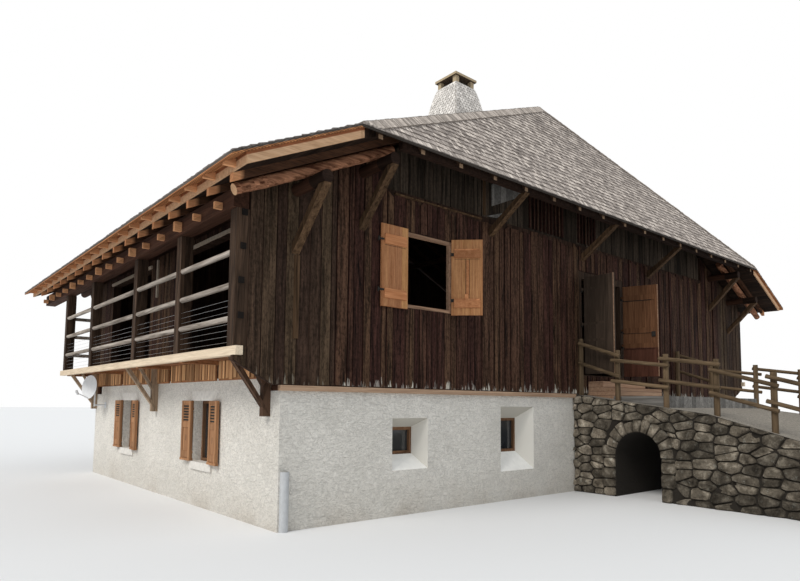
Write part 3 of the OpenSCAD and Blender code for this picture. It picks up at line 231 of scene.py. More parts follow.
def rubble(name, stops, spread, shaded_damp_y, unshaded_dry_y):
    """Weathered field stone with lichen, toned stone by stone, and darker along Y past the arch: damp and
    moss together with a painted tree shadow.
    """
    t = Tree(name, 0.9, 0.12)
    body = t.noise(t.place, 5.0, 6.0, 0.65)
    grit = t.noise(t.place, 38.0, 4.0, 0.6)
    lichen = t.noise(t.place, 9.0, 5.0, 0.7)
    colour = t.ramp(body, stops)
    colour = t.mix(t.span(lichen, 0.58, 0.68, 0.0, 0.5), colour, (0.36, 0.35, 0.30))
    colour = t.mix(t.span(grit, 0.3, 0.45, 0.55, 0.0), colour, toned(stops[0][1], 0.4))
    own = t.span(t.tint(), 0.0, 1.0, 1 - spread, 1 + spread)
    # Darker along Y towards the far side of the arch, as painted tree shadow together with damp and moss.
    value = t.math("MULTIPLY", own, t.span(t.axis(1), shaded_damp_y, unshaded_dry_y, 0.76, 1.3))
    return t.done(t.shaded(colour, value), t.blended(body, 0.7, grit, 0.4), 0.03)


def plain(name, colour, rough, metal=0.0, blotch=0.25, scale=14.0, under=None, depth=0.002):
    """A worn surface. under is its colours on upright faces and on those below."""
    t = Tree(name, rough)
    t.shader.inputs["Metallic"].default_value = metal
    wear = t.noise(t.place, scale, 5.0, 0.6)
    tone = t.ramp(wear, [(0.3, toned(colour, 1 - blotch)), (0.7, toned(colour, 1 + blotch))])
    if under:
        normal = t.add("NewGeometry").outputs["Normal"]
        up = t.feed(t.add("SeparateXYZ"), Vector=normal).outputs[2]
        tone = t.mix(t.span(up, 0.2, 0.4, 1.0, 0.0), tone, under[0])
        tone = t.mix(t.span(up, -0.5, -0.3, 1.0, 0.0), tone, under[1])
    return t.done(tone, wear, depth)


def glass(name):
    """Window glass of a dark room."""
    t = Tree(name, 0.08, 0.6)
    tones = [(0.3, (0.018, 0.02, 0.022)), (0.7, (0.05, 0.05, 0.048))]
    return t.done(t.ramp(t.noise(t.place, 1.2, 2.0), tones))


def held(value, low, high):
    """A value held between two ends."""
    return min(max(value, low), high)


def within(point):
    """A point drawn in to the outline of the roof."""
    return Vector((held(point.x, -HALF_W, HALF_W), held(point.y, EDGE_FRONT, EDGE_BACK), point.z))


def middle_of(ring):
    """The mean of the points of a ring."""
    return sum(p[0] for p in ring) / len(ring), sum(p[1] for p in ring) / len(ring)


def placed(name, data):
    """A new object in the scene."""
    obj = bpy.data.objects.new(name, data)
    bpy.context.scene.collection.objects.link(obj)
    return obj


class Kit:
    """Faces with a tint each, gathered into one mesh."""

    def __init__(self, seed):
        self.points, self.faces, self.tints = [], [], []
        self.rng = random.Random(seed)

    def face(self, points, tint):
        first = len(self.points)
        self.points.extend(points)
        self.faces.append(tuple(range(first, first + len(points))))
        self.tints.append(tint)

    def tube(self, rings, tint, way=1):
        """Faces from each ring to the next, turned over where way is -1."""
        for lower, upper in zip(rings, rings[1:]):
            for k in range(len(lower)):
                n = (k + 1) % len(lower)
                self.face([lower[k], lower[n], upper[n], upper[k]][::way], tint)

    def slab(self, base, top, tint, rim=None):
        """A solid between two like rings, without its back. rim tints its edge."""
        first, count = len(self.points), len(base)
        self.points += [*base, *top]
        self.faces.append(tuple(range(first + count, first + 2 * count)))
        for i in range(count):
            j = (i + 1) % count
            self.faces.append((first + i, first + j, first + count + j, first + count + i))
        self.tints += [tint] + [tint if rim is None else rim] * count

    def build(self, name, material, slot, body="building"):
        mesh = bpy.data.meshes.new(name)
        mesh.from_pydata([tuple(p) for p in self.points], [], self.faces)
        tint = mesh.attributes.new("tint", "FLOAT", "FACE")
        tint.data.foreach_set("value", [v - 0.5 for v in self.tints])
        mesh.materials.append(material)
        obj = placed(name, mesh)
        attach(obj, body)


def drawn_in(value, middle, inset):
    """A value moved towards the middle by inset, and no further."""
    away = value - middle
    return value - copysign(min(inset, abs(away)), away)


class Wall:
    """A flat place to dress: a goes along, b goes up, h stands off it."""

    def __init__(self, origin, along, up, out):
        self.origin, self.along = Vector(origin), Vector(along)
        self.up, self.out = Vector(up), Vector(out)
        self.flip = self.along.cross(self.up).dot(self.out) < 0

    def at(self, a, b, h=0.0):
        return self.origin + self.along * a + self.up * b + self.out * h

    def block(self, kit, corners, low, high, tint, inset=0.0, rim=None):
        """A flat block on corners (a, b), narrowed by inset towards its front."""
        if self.flip:
            corners = corners[::-1]
        ca, cb = middle_of(corners)
        base = [self.at(a, b, low) for a, b in corners]
        top = [self.at(drawn_in(a, ca, inset), drawn_in(b, cb, inset), high) for a, b in corners]
        kit.slab(base, top, tint, rim)

    def strip(self, kit, a0, a1, b0, b1, out, tint, inset=0.003, rim=None, low=0.0):
        """An upright or level strip."""
        self.block(kit, [(a0, b0), (a1, b0), (a1, b1), (a0, b1)], low, out, tint, inset, rim)


def end_wall(y, side):
    """A wall along X that looks out to -Y or Y."""
    return Wall((0, y, 0), (1, 0, 0), (0, 0, 1), (0, side, 0))


def side_wall(x, side):
    """A wall along Y that looks out to -X or X."""
    return Wall((x, 0, 0), (0, 1, 0), (0, 0, 1), (side, 0, 0))


def ledge(kit, wall, a0, a1, b0, b1, out, rim=None):
    """A strip with a tint of its own."""
    wall.strip(kit, a0, a1, b0, b1, out, kit.rng.random(), 0.004, rim)


NARROWEST = 0.02


def boards(kit, wall, spans, a0, a1, width, thick, breaks=(), gap=0.004, ragged=0.0, worn=0.0,
           vary=(0.75, 1.25)):
    """Upright boards. spans(a) gives the heights that are boarded at a. ragged makes their feet uneven,
    and worn the tops of those that end at the band."""
    rng = kit.rng
    a = a0
    for mark in sorted(b for b in breaks if a0 < b < a1) + [a1]:
        while a < mark - NARROWEST:
            b = min(mark, a + width * rng.uniform(*vary))
            if mark - b < width * 0.45:
                b = mark
            tint = rng.random()
            out = rng.uniform(*thick)
            left, right = a + gap / 2, b - gap / 2
            for (lo0, hi0), (lo1, hi1) in zip(spans(a + 0.001), spans(b - 0.001)):
                if min(hi0 - lo0, hi1 - lo1) > NARROWEST:
                    drop = rng.uniform(0, ragged)
                    frayed = worn if min(hi0, hi1) > BAND_Z - 0.01 else 0.0
                    cut, more = rng.uniform(0, frayed), rng.uniform(0, frayed)
                    ring = [(left, lo0 + drop), (right, lo1 + drop), (right, hi1 - cut), (left, hi0 - more)]
                    # The low tint on each board's sides darkens them as painted shade in the gaps.
                    wall.block(kit, ring, -0.004, out, tint, 0.004, rim=-0.2)
            a = b


def around(lo, hi, holes):
    """The span from lo to hi, or its parts under and over the first of the holes."""
    return [(lo, holes[0][0]), (holes[0][1], hi)] if holes else [(lo, hi)]


def zoned(measure, low, high, below=1.0, above=0.0):
    """A share that changes from low to high along an axis, or in another measure of the place."""
    return lambda t: t.span(measure(t) if callable(measure) else t.axis(measure), low, high, below, above)


def hip_rafter_ends(t):
    """The sawn ends of the hip rafters, low at the eaves of the hips."""
    away = t.math("ABSOLUTE", t.math("SUBTRACT", t.axis(1), ROOF_MID))
    return t.math("MULTIPLY", t.span(away, 7.47, 7.474), zoned(2, 6.44, 6.445)(t))


# Old dark timber
OLD = ((0.012, 0.007, 0.005), (0.07, 0.038, 0.025))
BOARDS = wood("gable_boards_wood", (0.006, 0.003, 0.0022), (0.115, 0.056, 0.037), tinted=1, spread=0.4,
              bleach=(SILL_TOP, 2.66, (0.5, 0.46, 0.4)), depth=0.014, hue=0.018, sharp=0.17, mottle=0.6)
GREY_BOARDS = wood("corner_boards_wood", (0.012, 0.0072, 0.0045), (0.11, 0.068, 0.044), tinted=1, spread=0.32,
                   bleach=(2.2, 3.0, (0.2, 0.175, 0.14)), depth=0.014, hue=0.012, sharp=0.2, mottle=0.55)
BAND_BOARDS = wood("band_boards_wood", (0.01, 0.008, 0.006), (0.088, 0.064, 0.046), tinted=1, spread=0.5,
                   depth=0.01, sharp=0.18, mottle=0.4)
WALL_X = wood("dark_wall_wood", *OLD, plank=(0, 0.19))
WALL_Y = wood("gallery_wall_wood", *OLD, plank=(1, 0.19))
TIMBER_X = wood("hip_rafter_timber", (0.02, 0.012, 0.008), (0.09, 0.05, 0.03), 0, depth=0.012,
                zone=(hip_rafter_ends, (0.15, 0.092, 0.055), (0.34, 0.225, 0.14)))
# Sills, plates and purlins go much darker at their front ends, past y -6, as painted shade under the roof
# overhang.
TIMBER_Y = wood("old_timber_y", (0.02, 0.009, 0.006), (0.1, 0.045, 0.027), 1, depth=0.012,
                zone=(zoned(1, -6.0, -5.98), (0.008, 0.005, 0.004), (0.04, 0.022, 0.015)))
TIMBER_Z = wood("old_timber_z", (0.013, 0.0082, 0.0056), (0.09, 0.055, 0.036), depth=0.012, sharp=0.18)
BRACE = wood("brace_timber", (0.03, 0.017, 0.009), (0.15, 0.088, 0.048), depth=0.012, sharp=0.18)
GREY_Y = wood("floor_timber_y", (0.03, 0.02, 0.014), (0.12, 0.08, 0.055), 1, plank=(0, 0.22))
# Roof boarding under the eaves is near black: partly old dark wood, partly painted shade under the roof.
DARK_X = wood("roof_boards_x", (0.008, 0.005, 0.004), (0.05, 0.028, 0.018), 1, plank=(0, 0.16), spread=0.4)
STACK_CORE = wood("stack_boards", (0.06, 0.045, 0.032), (0.2, 0.155, 0.115))
LEAF_DARK = wood("dark_leaf_wood", (0.025, 0.0175, 0.0125), (0.094, 0.065, 0.047), tinted=1, spread=0.12,
                 sharp=0.3)

# Red, orange and new timber
RED_LOG = wood("rake_log_timber", (0.08, 0.028, 0.014), (0.5, 0.24, 0.135), 0, depth=0.016, sharp=0.14)
SAWN = wood("sawn_ends", (0.4, 0.22, 0.12), (0.72, 0.46, 0.27), tinted=1, spread=0.15, depth=0.003)
NEW_Y = wood("new_timber_y", (0.56, 0.43, 0.3), (0.88, 0.74, 0.56), 1, spread=0.1)
NEW_X = wood("new_timber_x", (0.26, 0.16, 0.1), (0.52, 0.36, 0.245), 0, spread=0.15)
FRAME = wood("window_frame_timber", (0.19, 0.105, 0.065), (0.5, 0.32, 0.21), 0)
EDGE = wood("edge_timber", (0.45, 0.25, 0.13), (0.8, 0.53, 0.33), 0, spread=0.1,
            zone=(zoned(Tree.under_roof, 0.1, 0.106), (0.17, 0.05, 0.02), (0.4, 0.15, 0.065)))
ORANGE_Y = wood("orange_timber_y", (0.2, 0.08, 0.035), (0.46, 0.22, 0.1), 1)
SOFFIT = wood("gallery_soffit_boards", (0.14, 0.06, 0.028), (0.42, 0.2, 0.1), 0, plank=(1, 0.17))
SKIRT = wood("skirt_wood", (0.3, 0.135, 0.058), (0.72, 0.43, 0.215), tinted=1, spread=0.45, sharp=0.2)
# Rafters are dark inside the fascia and orange at their tails: partly old dark wood, partly painted shade
# under the roof.
RAFTER = wood("rafter_timber", (0.42, 0.165, 0.07), (0.82, 0.42, 0.21), 0, spread=0.2,
              zone=(zoned(Tree.from_ridge, 9.66, 9.74), (0.012, 0.007, 0.005), (0.07, 0.036, 0.022)))
TAIL = wood("tail_timber", (0.46, 0.19, 0.08), (0.86, 0.48, 0.25), 0, spread=0.2)
PINE = wood("pine_boards", (0.25, 0.092, 0.033), (0.63, 0.33, 0.155), tinted=1, spread=0.2,
            depth=0.005, hue=0.008, sharp=0.34, mottle=0.16)
PINE_X = wood("pine_ledges", (0.36, 0.13, 0.05), (0.68, 0.32, 0.15), 0, depth=0.004)
SHUTTER = wood("shutter_wood", (0.24, 0.115, 0.055), (0.5, 0.27, 0.14), tinted=1, spread=0.2, depth=0.003)
BROWN = wood("window_wood", (0.1, 0.05, 0.028), (0.22, 0.12, 0.065))
LEAF_BROWN = wood("brown_leaf_wood", (0.072, 0.029, 0.014), (0.225, 0.106, 0.052), tinted=1, spread=0.16,
                  sharp=0.25, zone=(zoned(2, 3.58, 3.6), (0.045, 0.0175, 0.011), (0.13, 0.052, 0.034)))
STEP = wood("step_wood", (0.36, 0.2, 0.12), (0.66, 0.44, 0.3), 0, plank=(2, 0.105))

# Grey and weathered timber
RAIL = wood("rail_timber", (0.16, 0.13, 0.105), (0.54, 0.475, 0.41), 1, spread=0.15, sharp=0.16, depth=0.014)
ROUND_WOOD = ((0.052, 0.035, 0.02), (0.2, 0.138, 0.082))
FENCE = wood("fence_rail_timber", *ROUND_WOOD, 1, spread=0.25)
FENCE_Z = wood("fence_post_timber", *ROUND_WOOD, spread=0.25)
BRACKET = wood("bracket_timber", (0.2, 0.13, 0.08), (0.55, 0.42, 0.3), depth=0.01, sharp=0.2,
               zone=(zoned(1, -4.9, -4.8), (0.03, 0.016, 0.01), (0.15, 0.085, 0.055)))
KERB = wood("landing_timber", (0.13, 0.12, 0.11), (0.34, 0.325, 0.3), 1, plank=(0, 0.2))
PALE_BOARD = wood("pale_boards", (0.3, 0.24, 0.18), (0.56, 0.47, 0.38), tinted=1, spread=0.2)

# Shingles and their ends
SHINGLE = wood("roof_shingle", (0.2, 0.17, 0.15), (0.48, 0.42, 0.38), 0, tinted=1, spread=0.42,
               depth=0.004, hue=0.006)
HIP_SHINGLE = wood("hip_shingle", (0.3, 0.26, 0.23), (0.7, 0.615, 0.55), 1, tinted=1, spread=0.46,
                   depth=0.004, hue=0.006)
CAP_SHINGLE = wood("cap_shingle", (0.3, 0.255, 0.22), (0.68, 0.6, 0.53), 0, tinted=1, spread=0.35,
                   depth=0.004)
STACK_SHINGLE = wood("stack_shingle", (0.56, 0.52, 0.48), (0.88, 0.84, 0.79), tinted=1, spread=0.22,
                     depth=0.002)
SKIN = wood("shingle_ends", (0.05, 0.043, 0.038), (0.2, 0.175, 0.155), 1, plank=(2, 0.024),
            zone=(zoned(Tree.under_roof, 0.03, 0.034, 0.0, 1.0), (0.3, 0.105, 0.038), (0.68, 0.32, 0.135)))
HIP_SKIN = wood("hip_shingle_ends", (0.03, 0.024, 0.02), (0.12, 0.1, 0.085), 0, plank=(2, 0.024))

# Masonry, metal and glass
RENDER = render_coat("lime_render", (0.86, 0.82, 0.75), (0.73, 0.695, 0.63), (0.34, 0.28, 0.21))
# Splays and sills: lighter on upward faces and darker on upright and downward faces, as painted sky light and
# shade.
SPLAY = plain("splay_painted_sky_light_and_shade", (0.93, 0.91, 0.86), 0.9, blotch=0.05, scale=9.0,
              under=((0.72, 0.69, 0.625), (0.5, 0.475, 0.42)))
# The chimney cap's underside is painted near black as shade; its upright faces are ochre.
SLAB = plain("cap_mortar", (0.46, 0.42, 0.37), 0.95, under=((0.42, 0.33, 0.21), (0.08, 0.055, 0.035)))
STONE = plain("dressed_stone", (0.68, 0.65, 0.6), 0.9, blotch=0.12)
JOINT = (0.022, 0.018, 0.014)
MORTAR = plain("ramp_core", (0.24, 0.215, 0.18), 0.95, blotch=0.45, scale=26.0, under=(JOINT, JOINT),
               depth=0.02)
FIELD_TONES = [(0.32, (0.042, 0.034, 0.025)), (0.52, (0.14, 0.118, 0.09)), (0.72, (0.38, 0.33, 0.26))]
RUBBLE = rubble("field_stone", FIELD_TONES, 0.5, shaded_damp_y=-7.9, unshaded_dry_y=-6.6)
DISH = plain("dish_paint", (0.7, 0.71, 0.72), 0.45, blotch=0.06)
ZINC = plain("zinc_sheet", (0.5, 0.51, 0.52), 0.5, metal=0.2, blotch=0.08)
# Dark iron, also used for strips of painted shade on the shutters and on the door leaf.
IRON_AND_SHADE = plain("wrought_iron_and_painted_shade", (0.022, 0.019, 0.016), 0.7, metal=0.3)
STEEL = plain("fine_wire", (0.42, 0.42, 0.42), 0.4, metal=0.9)
SHADOW = plain("mortise_shadow", (0.006, 0.004, 0.003), 0.95)
PANE = glass("window_glass")

FINISH = {
    RENDER: "masonry_ramp_gable masonry_sides masonry_far_gable", SPLAY: "window_splays",
    STONE: "window_stones ground_slab", MORTAR: "ramp_bridge", STEP: "ramp_steps",
    STACK_CORE: "chimney_stack", SLAB: "chimney_cap",
    WALL_X: "gable_boards_left gable_boards_right gable_boards_at_door gable_upper_boards far_gable_boards",
    WALL_Y: "gallery_walls", TIMBER_Y: "floor_sills plates purlins",
    TIMBER_Z: "gallery_posts door_frame", TIMBER_X: "hip_rafters", RED_LOG: "rake_logs",
    BRACE: "gable_braces", NEW_Y: "gallery_rim_beams", NEW_X: "sill_boards", FRAME: "big_window_frame",
    EDGE: "edge_boards", RAFTER: "rafters", TAIL: "eave_tails", SHUTTER: "window_shutters",
    ORANGE_Y: "gallery_skirts gallery_joists", DARK_X: "roof_boarding_left roof_boarding_right",
    PINE_X: "big_shutters", BROWN: "window_frames", GREY_Y: "upper_floor", SOFFIT: "gallery_decks",
    RAIL: "gallery_rails", FENCE_Z: "fence_posts", FENCE: "fence_rails", SKIN: "roof_left roof_right",
    HIP_SKIN: "hips", BRACKET: "gallery_brackets", KERB: "ramp_landing", DISH: "aerial_dish",
    ZINC: "corner_cover", PANE: "window_panes", IRON_AND_SHADE: "door_pintles", LEAF_DARK: "door_leaf_left",
    LEAF_BROWN: "door_leaf_right",
}
for material, names in FINISH.items():
    for node_name in names.split():
        for place in CAD[node_name].material_slots:
            place.material = material

# Boards of the ramp gable, grey outside CORNER_IN, and of the band under the hip
GABLE, BAND, FAR = end_wall(FACE, -1), end_wall(CLAD_BACK, -1), end_wall(JETTY, 1)
SIDES = ((-1, "left"), (1, "right"))
BIG_WINDOW = (-6.01, -4.79, 3.88, 5.34)
DOOR = (-0.32, 1.76, 2.8, 5.42)
CORNER_IN, CORNER_RUN, CORNER_RISE, RIM_BOARD_TOP = 7.6, 0.7, 0.36, 2.78
BAND_LAP, BAND_TOP = 0.02, HIP_Z + (CLAD_BACK - EDGE_FRONT) * tan(HIP_PITCH) - UNDER_HIP


def gable_spans(x):
    """Boarded heights of the ramp gable at x. The feet rise outside the walls."""
    edge = abs(x)
    low = SILL_TOP + max(0.0, edge - SILL_HALF) / CORNER_RUN * CORNER_RISE
    if edge > RIM:
        return []
    if edge > BEAM_IN:
        return [(low, RIM_BOARD_TOP)]
    if edge > POST_IN:
        return [(low, FLOOR_Z)]
    high = roof_z(x) - UNDER_RAFTER if edge > BAND_HALF else BAND_Z
    return around(low, high, [hole[2:] for hole in (BIG_WINDOW, DOOR) if hole[0] < x < hole[1]])


def band_spans(x):
    """Boarded heights of the band at x."""
    return [(BAND_Z - BAND_LAP, min(roof_z(x) - UNDER_RAFTER, BAND_TOP))]


breaks = [side * x for side in (-1, 1) for x in (BAND_HALF, SILL_HALF, POST_IN, BEAM_IN)]
breaks += [*BIG_WINDOW[:2], *DOOR[:2]]
corner = Kit(3)
for ends in ((-RIM, -CORNER_IN), (CORNER_IN, RIM)):
    boards(corner, GABLE, gable_spans, *ends, 0.2, (0.004, 0.022), breaks, gap=0.01, ragged=0.015)
corner.build("corner_boards", GREY_BOARDS, "dark_boards")
gable = Kit(5)
boards(gable, GABLE, gable_spans, -CORNER_IN, CORNER_IN, 0.25, (0.004, 0.036), breaks, gap=0.018,
       ragged=0.02, worn=0.17, vary=(0.45, 1.35))
gable.build("gable_boards", BOARDS, "dark_boards")
band = Kit(7)
boards(band, BAND, band_spans, -BAND_HALF, BAND_HALF, 0.22, (0.004, 0.02), gap=0.01)
band.build("band_boards", BAND_BOARDS, "dark_boards")

# Boards of the far gable
FAR_WINDOW = (1.15, 2.05, 3.8, 5.01)
FAR_FOOT = 2.57


def far_spans(x):
    """Boarded heights of the far gable at x."""
    holes = [FAR_WINDOW[2:]] if FAR_WINDOW[0] < abs(x) < FAR_WINDOW[1] else []
    return around(FAR_FOOT, roof_z(x) - UNDER_RAFTER, holes)


far = Kit(9)
breaks = [0.0] + [side * x for side in (-1, 1) for x in FAR_WINDOW[:2]]
boards(far, FAR, far_spans, -WALL_HALF, WALL_HALF, 0.22, (0.006, 0.018), breaks)
far.build("far_boards", BOARDS, "dark_boards")

# Boards behind the galleries, and the short ones under them
DOORWAYS = ((-4.24, -1.1), (0.98, 4.12))
DOORWAY_TOP, INNER_FOOT, INNER_ENDS = 5.26, 2.93, (-5.36, 5.62)
SKIRT_X, SKIRT_SPAN, SKIRT_W = 8.63, (2.462, 2.83), 0.14


def inner_spans(y):
    """Boarded heights of a gallery wall at y."""
    holes = [(INNER_FOOT, DOORWAY_TOP)] if any(lo < y < hi for lo, hi in DOORWAYS) else []
    return around(INNER_FOOT, PLATE_Z, holes)


for side, label in SIDES:
    inner = Kit(11)
    breaks = [y for doorway in DOORWAYS for y in doorway]
    boards(inner, side_wall(side * WALL_HALF, side), inner_spans, *INNER_ENDS, 0.2, (0.005, 0.014), breaks)
    inner.build(label + "_gallery_boards", BOARDS, "dark_boards")
    short = Kit(13)
    for p0, p1 in zip(POSTS, POSTS[1:]):
        a0, a1 = p0 + POST_HALF, p1 + POST_HALF - SKIRT_W
        boards(short, side_wall(side * SKIRT_X, side), lambda y: [SKIRT_SPAN], a0, a1, SKIRT_W,
               (0.004, 0.026), gap=0.022, ragged=0.04)
    short.build(label + "_skirt_boards", SKIRT, "orange_timber")

# Shingles of the roof
COURSE, SHINGLE_W, SHINGLE_LIFT, THIN, HALF_GAP = 0.15, 0.105, 0.024, 0.004, 0.006
RIDGE_FRONT, RIDGE_BACK = EDGE_FRONT + HIP_RUN, EDGE_BACK - HIP_RUN
HIPS = ((-1, RIDGE_FRONT, EDGE_FRONT, "front"), (1, RIDGE_BACK, EDGE_BACK, "back"))


def shingles(kit, plane, length, span):
    """Courses of shingles down a plane. span(s) gives the ends of the course at s."""
    rng = kit.rng
    for row in range(int(length / COURSE)):
        low = length - row * COURSE
        high = max(0.0, low - COURSE * 1.12)
        a = min(span(low)[0], span(high)[0]) - rng.uniform(0, SHINGLE_W)
        last = max(span(low)[1], span(high)[1])
        while a < last:
            w = SHINGLE_W * rng.uniform(0.65, 1.35)
            s = min(length, low + rng.uniform(-0.014, 0.006))
            out = SHINGLE_LIFT * rng.uniform(0.65, 1.2)
            left, right = a + HALF_GAP, a + w - HALF_GAP
            corners = ((s, left), (s, right), (high, right), (high, left))
            ring = [(d, held(b, *span(d))) for d, b in corners]
            if ring[1][1] - ring[0][1] > THIN or ring[2][1] - ring[3][1] > THIN:
                tilt = rng.uniform(-0.004, 0.004)
                rises = (out + tilt, out - tilt, THIN, THIN)
                base = [within(plane.at(b, -d)) for d, b in ring]
                top = [within(plane.at(b, -d, h)) for (d, b), h in zip(ring, rises)]
                # The low tint on each shingle's butt and sides darkens them as painted shade.
                kit.slab(base, top, rng.random(), rim=-0.35)
            a += w


def roof_plane(pitch, x, y, ridge_y=0.0):
    """A plane of the roof that falls towards (x, y) from the ridge: a goes along it and b up it."""
    fall = Vector((x, y, 0))
    up = Vector((0, 0, sin(pitch))) - fall * cos(pitch)
    out = Vector((0, 0, cos(pitch))) + fall * sin(pitch)
    return Wall((0, ridge_y, RIDGE_Z), (abs(y), abs(x), 0), up, out)


def slope_span(s):
    """Ends of a course of a long slope at s."""
    back = HIP_RUN * max(0.0, 1 - s * cos(PITCH) / HIP_HALF)
    return EDGE_FRONT + back + 0.002, EDGE_BACK - back - 0.002


def hip_span(s):
    """Ends of a course of a hip at s."""
    return -HIP_HALF * s / HIP_LENGTH, HIP_HALF * s / HIP_LENGTH


for side, label in SIDES:
    roof = Kit(17 + side)
    shingles(roof, roof_plane(PITCH, side, 0), HALF_W / cos(PITCH), slope_span)
    roof.build(label + "_shingles", SHINGLE, "shingles")
for seed, (way, ridge_y, edge_y, label) in enumerate(HIPS, 23):
    roof = Kit(seed)
    shingles(roof, roof_plane(HIP_PITCH, 0, way, ridge_y), HIP_LENGTH, hip_span)
    roof.build(label + "_hip_shingles", HIP_SHINGLE, "shingles")

# Rows of long shingles over the ridge and the hips
CAP_W, CAP_LIFT = 0.075, 0.045


def cap_row(kit, start, end, lean, out, reach, lift, taper=99.0):
    """Long shingles side by side along a roof edge, down the plane by lean."""
    rng = kit.rng
    run = end - start
    step = run.normalized()
    a = 0.0
    while a < run.length:
        w = min(CAP_W * rng.uniform(0.8, 1.2), run.length - a)
        down = lean * min(reach * rng.uniform(0.96, 1.03), 0.01 + (0.05 + a) * taper)
        left, right = start + step * (a + HALF_GAP), start + step * (a + w - HALF_GAP)
        rise = out * (lift * rng.uniform(0.8, 1.0))
        base = [left, right, right + down, left + down]
        if (right - left).cross(down).dot(out) < 0:
            base = base[::-1]
        # The low tint on each cap shingle's butt and sides darkens them as painted shade.
        kit.slab([within(q) for q in base], [within(q + rise) for q in base], rng.random(), rim=-0.35)
        a += w


def leaned(plane, line, axis, away):
    """The way down a plane from a line in it, never towards away along an axis."""
    lean = plane.out.cross(line).normalized()
    return -lean if lean[axis] * away > 0 else lean


caps = Kit(29)
for side, label in SIDES:
    slope = roof_plane(PITCH, side, 0)
    for way, ridge_y, edge_y, name in HIPS:
        apex, foot = Vector((0, ridge_y, RIDGE_Z)), Vector((side * HIP_HALF, edge_y, HIP_Z))
        line = (apex - foot).normalized()
        start = foot + line * 0.05
        hip = roof_plane(HIP_PITCH, 0, way, ridge_y)
        lean = leaned(hip, line, 0, side)
        cap_row(caps, start, apex, lean, hip.out, 0.06 if side > 0 else 0.19, CAP_LIFT, abs(line.y / lean.y))
        cap_row(caps, start, apex, leaned(slope, line, 1, way), slope.out, 0.19, CAP_LIFT)
    ridge = [Vector((0, y, RIDGE_Z)) for y in (RIDGE_FRONT, RIDGE_BACK)]
    cap_row(caps, *ridge, -slope.up, slope.out, 0.2, 0.05 if side < 0 else 0.04)
caps.build("ridge_and_hip_caps", CAP_SHINGLE, "shingles")

# Scale shingles of the flared stack
STACK_TOP, STACK_FOOT, SCALES_FOOT = 11.46, 9.45, 9.56
STACK_X, STACK_Y = -0.8, -1.61
SCALE_W, SCALE_SHOULDER, SCALE_LENGTH, SCALE_STEP, SCALE_GAP = 0.125, 0.075, 0.13, 0.088, 0.006


def stack_half(z):
    """Half width of the stack at a height."""
    return 0.3775 + 0.4125 * ((STACK_TOP - z) / (STACK_TOP - STACK_FOOT)) ** 0.75


def stack_spot(spin, z, u, d, h):
    """A place on one face of the stack: u across it, d down from z, h off it."""
    half = stack_half(z - d)
    return spin @ Vector(((2 * u - 1) * half, -half - h, 0)) + Vector((STACK_X, STACK_Y, z - d))


def scale_row(kit, spin, z, row):
    """A row of pointed shingles across one face, where it is clear of the roof."""
    count = max(6, round(2 * stack_half(z - SCALE_LENGTH) / SCALE_W))
    for i in range(-1, count + 1):
        start = (i + (row % 2) / 2) / count
        u0, u1 = max(0.0, start + SCALE_GAP), min(1.0, start + 1 / count - SCALE_GAP)
        mid = (u0 + u1) / 2
        if u1 - u0 < NARROWEST or z - 0.12 <= roof_z(stack_spot(spin, z, mid, 0.1, 0).x) - 0.1:
            continue
        points = [(u0, 0.0), (u0, SCALE_SHOULDER), (mid, SCALE_LENGTH), (u1, SCALE_SHOULDER), (u1, 0.0)]
        base = [stack_spot(spin, z, u, d, 0.0) for u, d in points]
        top = [stack_spot(spin, z, u, d, THIN if d == 0 else 0.018) for u, d in points]
        # The very low tint on each scale's edges darkens them as painted shade in the gaps.
        kit.slab(base, top, kit.rng.random(), rim=-1.2)


scales = Kit(31)
for turn in range(4):
    spin = Matrix.Rotation(turn * pi / 2, 4, "Z")
    row = 0
    z = STACK_TOP - THIN
    while z > SCALES_FOOT:
        scale_row(scales, spin, z, row)
        row += 1
        z -= SCALE_STEP
scales.build("stack_scales", STACK_SHINGLE, "chimney_render")

# Field stones of the ramp and of its passage
RAMP = ((-5.4, 0.0), (-5.4, 2.33), (-8.6, 1.91), (-14.9, 0.12), (-14.9, 0.0))
RAMP_LEFT, RAMP_RIGHT = -0.5, 4.8
ARCH_MID, ARCH_R, SPRING_Z = -7.04, 0.54, 0.93
ARCH_STONES, ARCH_STONE_OUT, ARCH_GAP = 11, 0.07, 0.004
FREE_R = ARCH_R + 0.3
STONE_SIZE, FLATNESS = 0.27, 1.7


def clip(ring, px, pz, nx, nz):
    """The part of a ring behind the line through (px, pz) with normal (nx, nz)."""
    kept = []
    for (x0, z0), (x1, z1) in zip(ring, ring[1:] + ring[:1]):
        d0 = (x0 - px) * nx + (z0 - pz) * nz
        d1 = (x1 - px) * nx + (z1 - pz) * nz
        if d0 <= 0:
            kept.append((x0, z0))
        if d0 * d1 < 0:
            t = d0 / (d0 - d1)
            kept.append((x0 + (x1 - x0) * t, z0 + (z1 - z0) * t))
    return kept


def from_arch(y, z):
    """Distance from the middle line of the passage."""
    return abs(y - ARCH_MID) if z <= SPRING_Z else hypot(y - ARCH_MID, z - SPRING_Z)


def out_of_arch(y, z, bank, reach):
    """Moves a point on one bank of the passage out to a distance round it."""
    if z <= SPRING_Z:
        return ARCH_MID + bank * max(reach, bank * (y - ARCH_MID)), z
    away = from_arch(y, z)
    if away < reach:
        return ARCH_MID + (y - ARCH_MID) * reach / away, SPRING_Z + (z - SPRING_Z) * reach / away
    return y, z


def seeded(rng, outline, size):
    """Scattered middles of stones over the box of an outline."""
    (y0, y1), (z0, z1) = [(min(values), max(values)) for values in zip(*outline)]
    seeds = []
    z = z0 - size / 2
    while z < z1 + size / 2:
        y = y0 - size
        while y < y1 + size:
            shift = rng.uniform(-0.42, 0.42) * size * 1.4
            seeds.append((y + shift, z + rng.uniform(-0.3, 0.3) * size * 0.8))
            y += size * 1.45
        z += size * 0.72
    return seeds


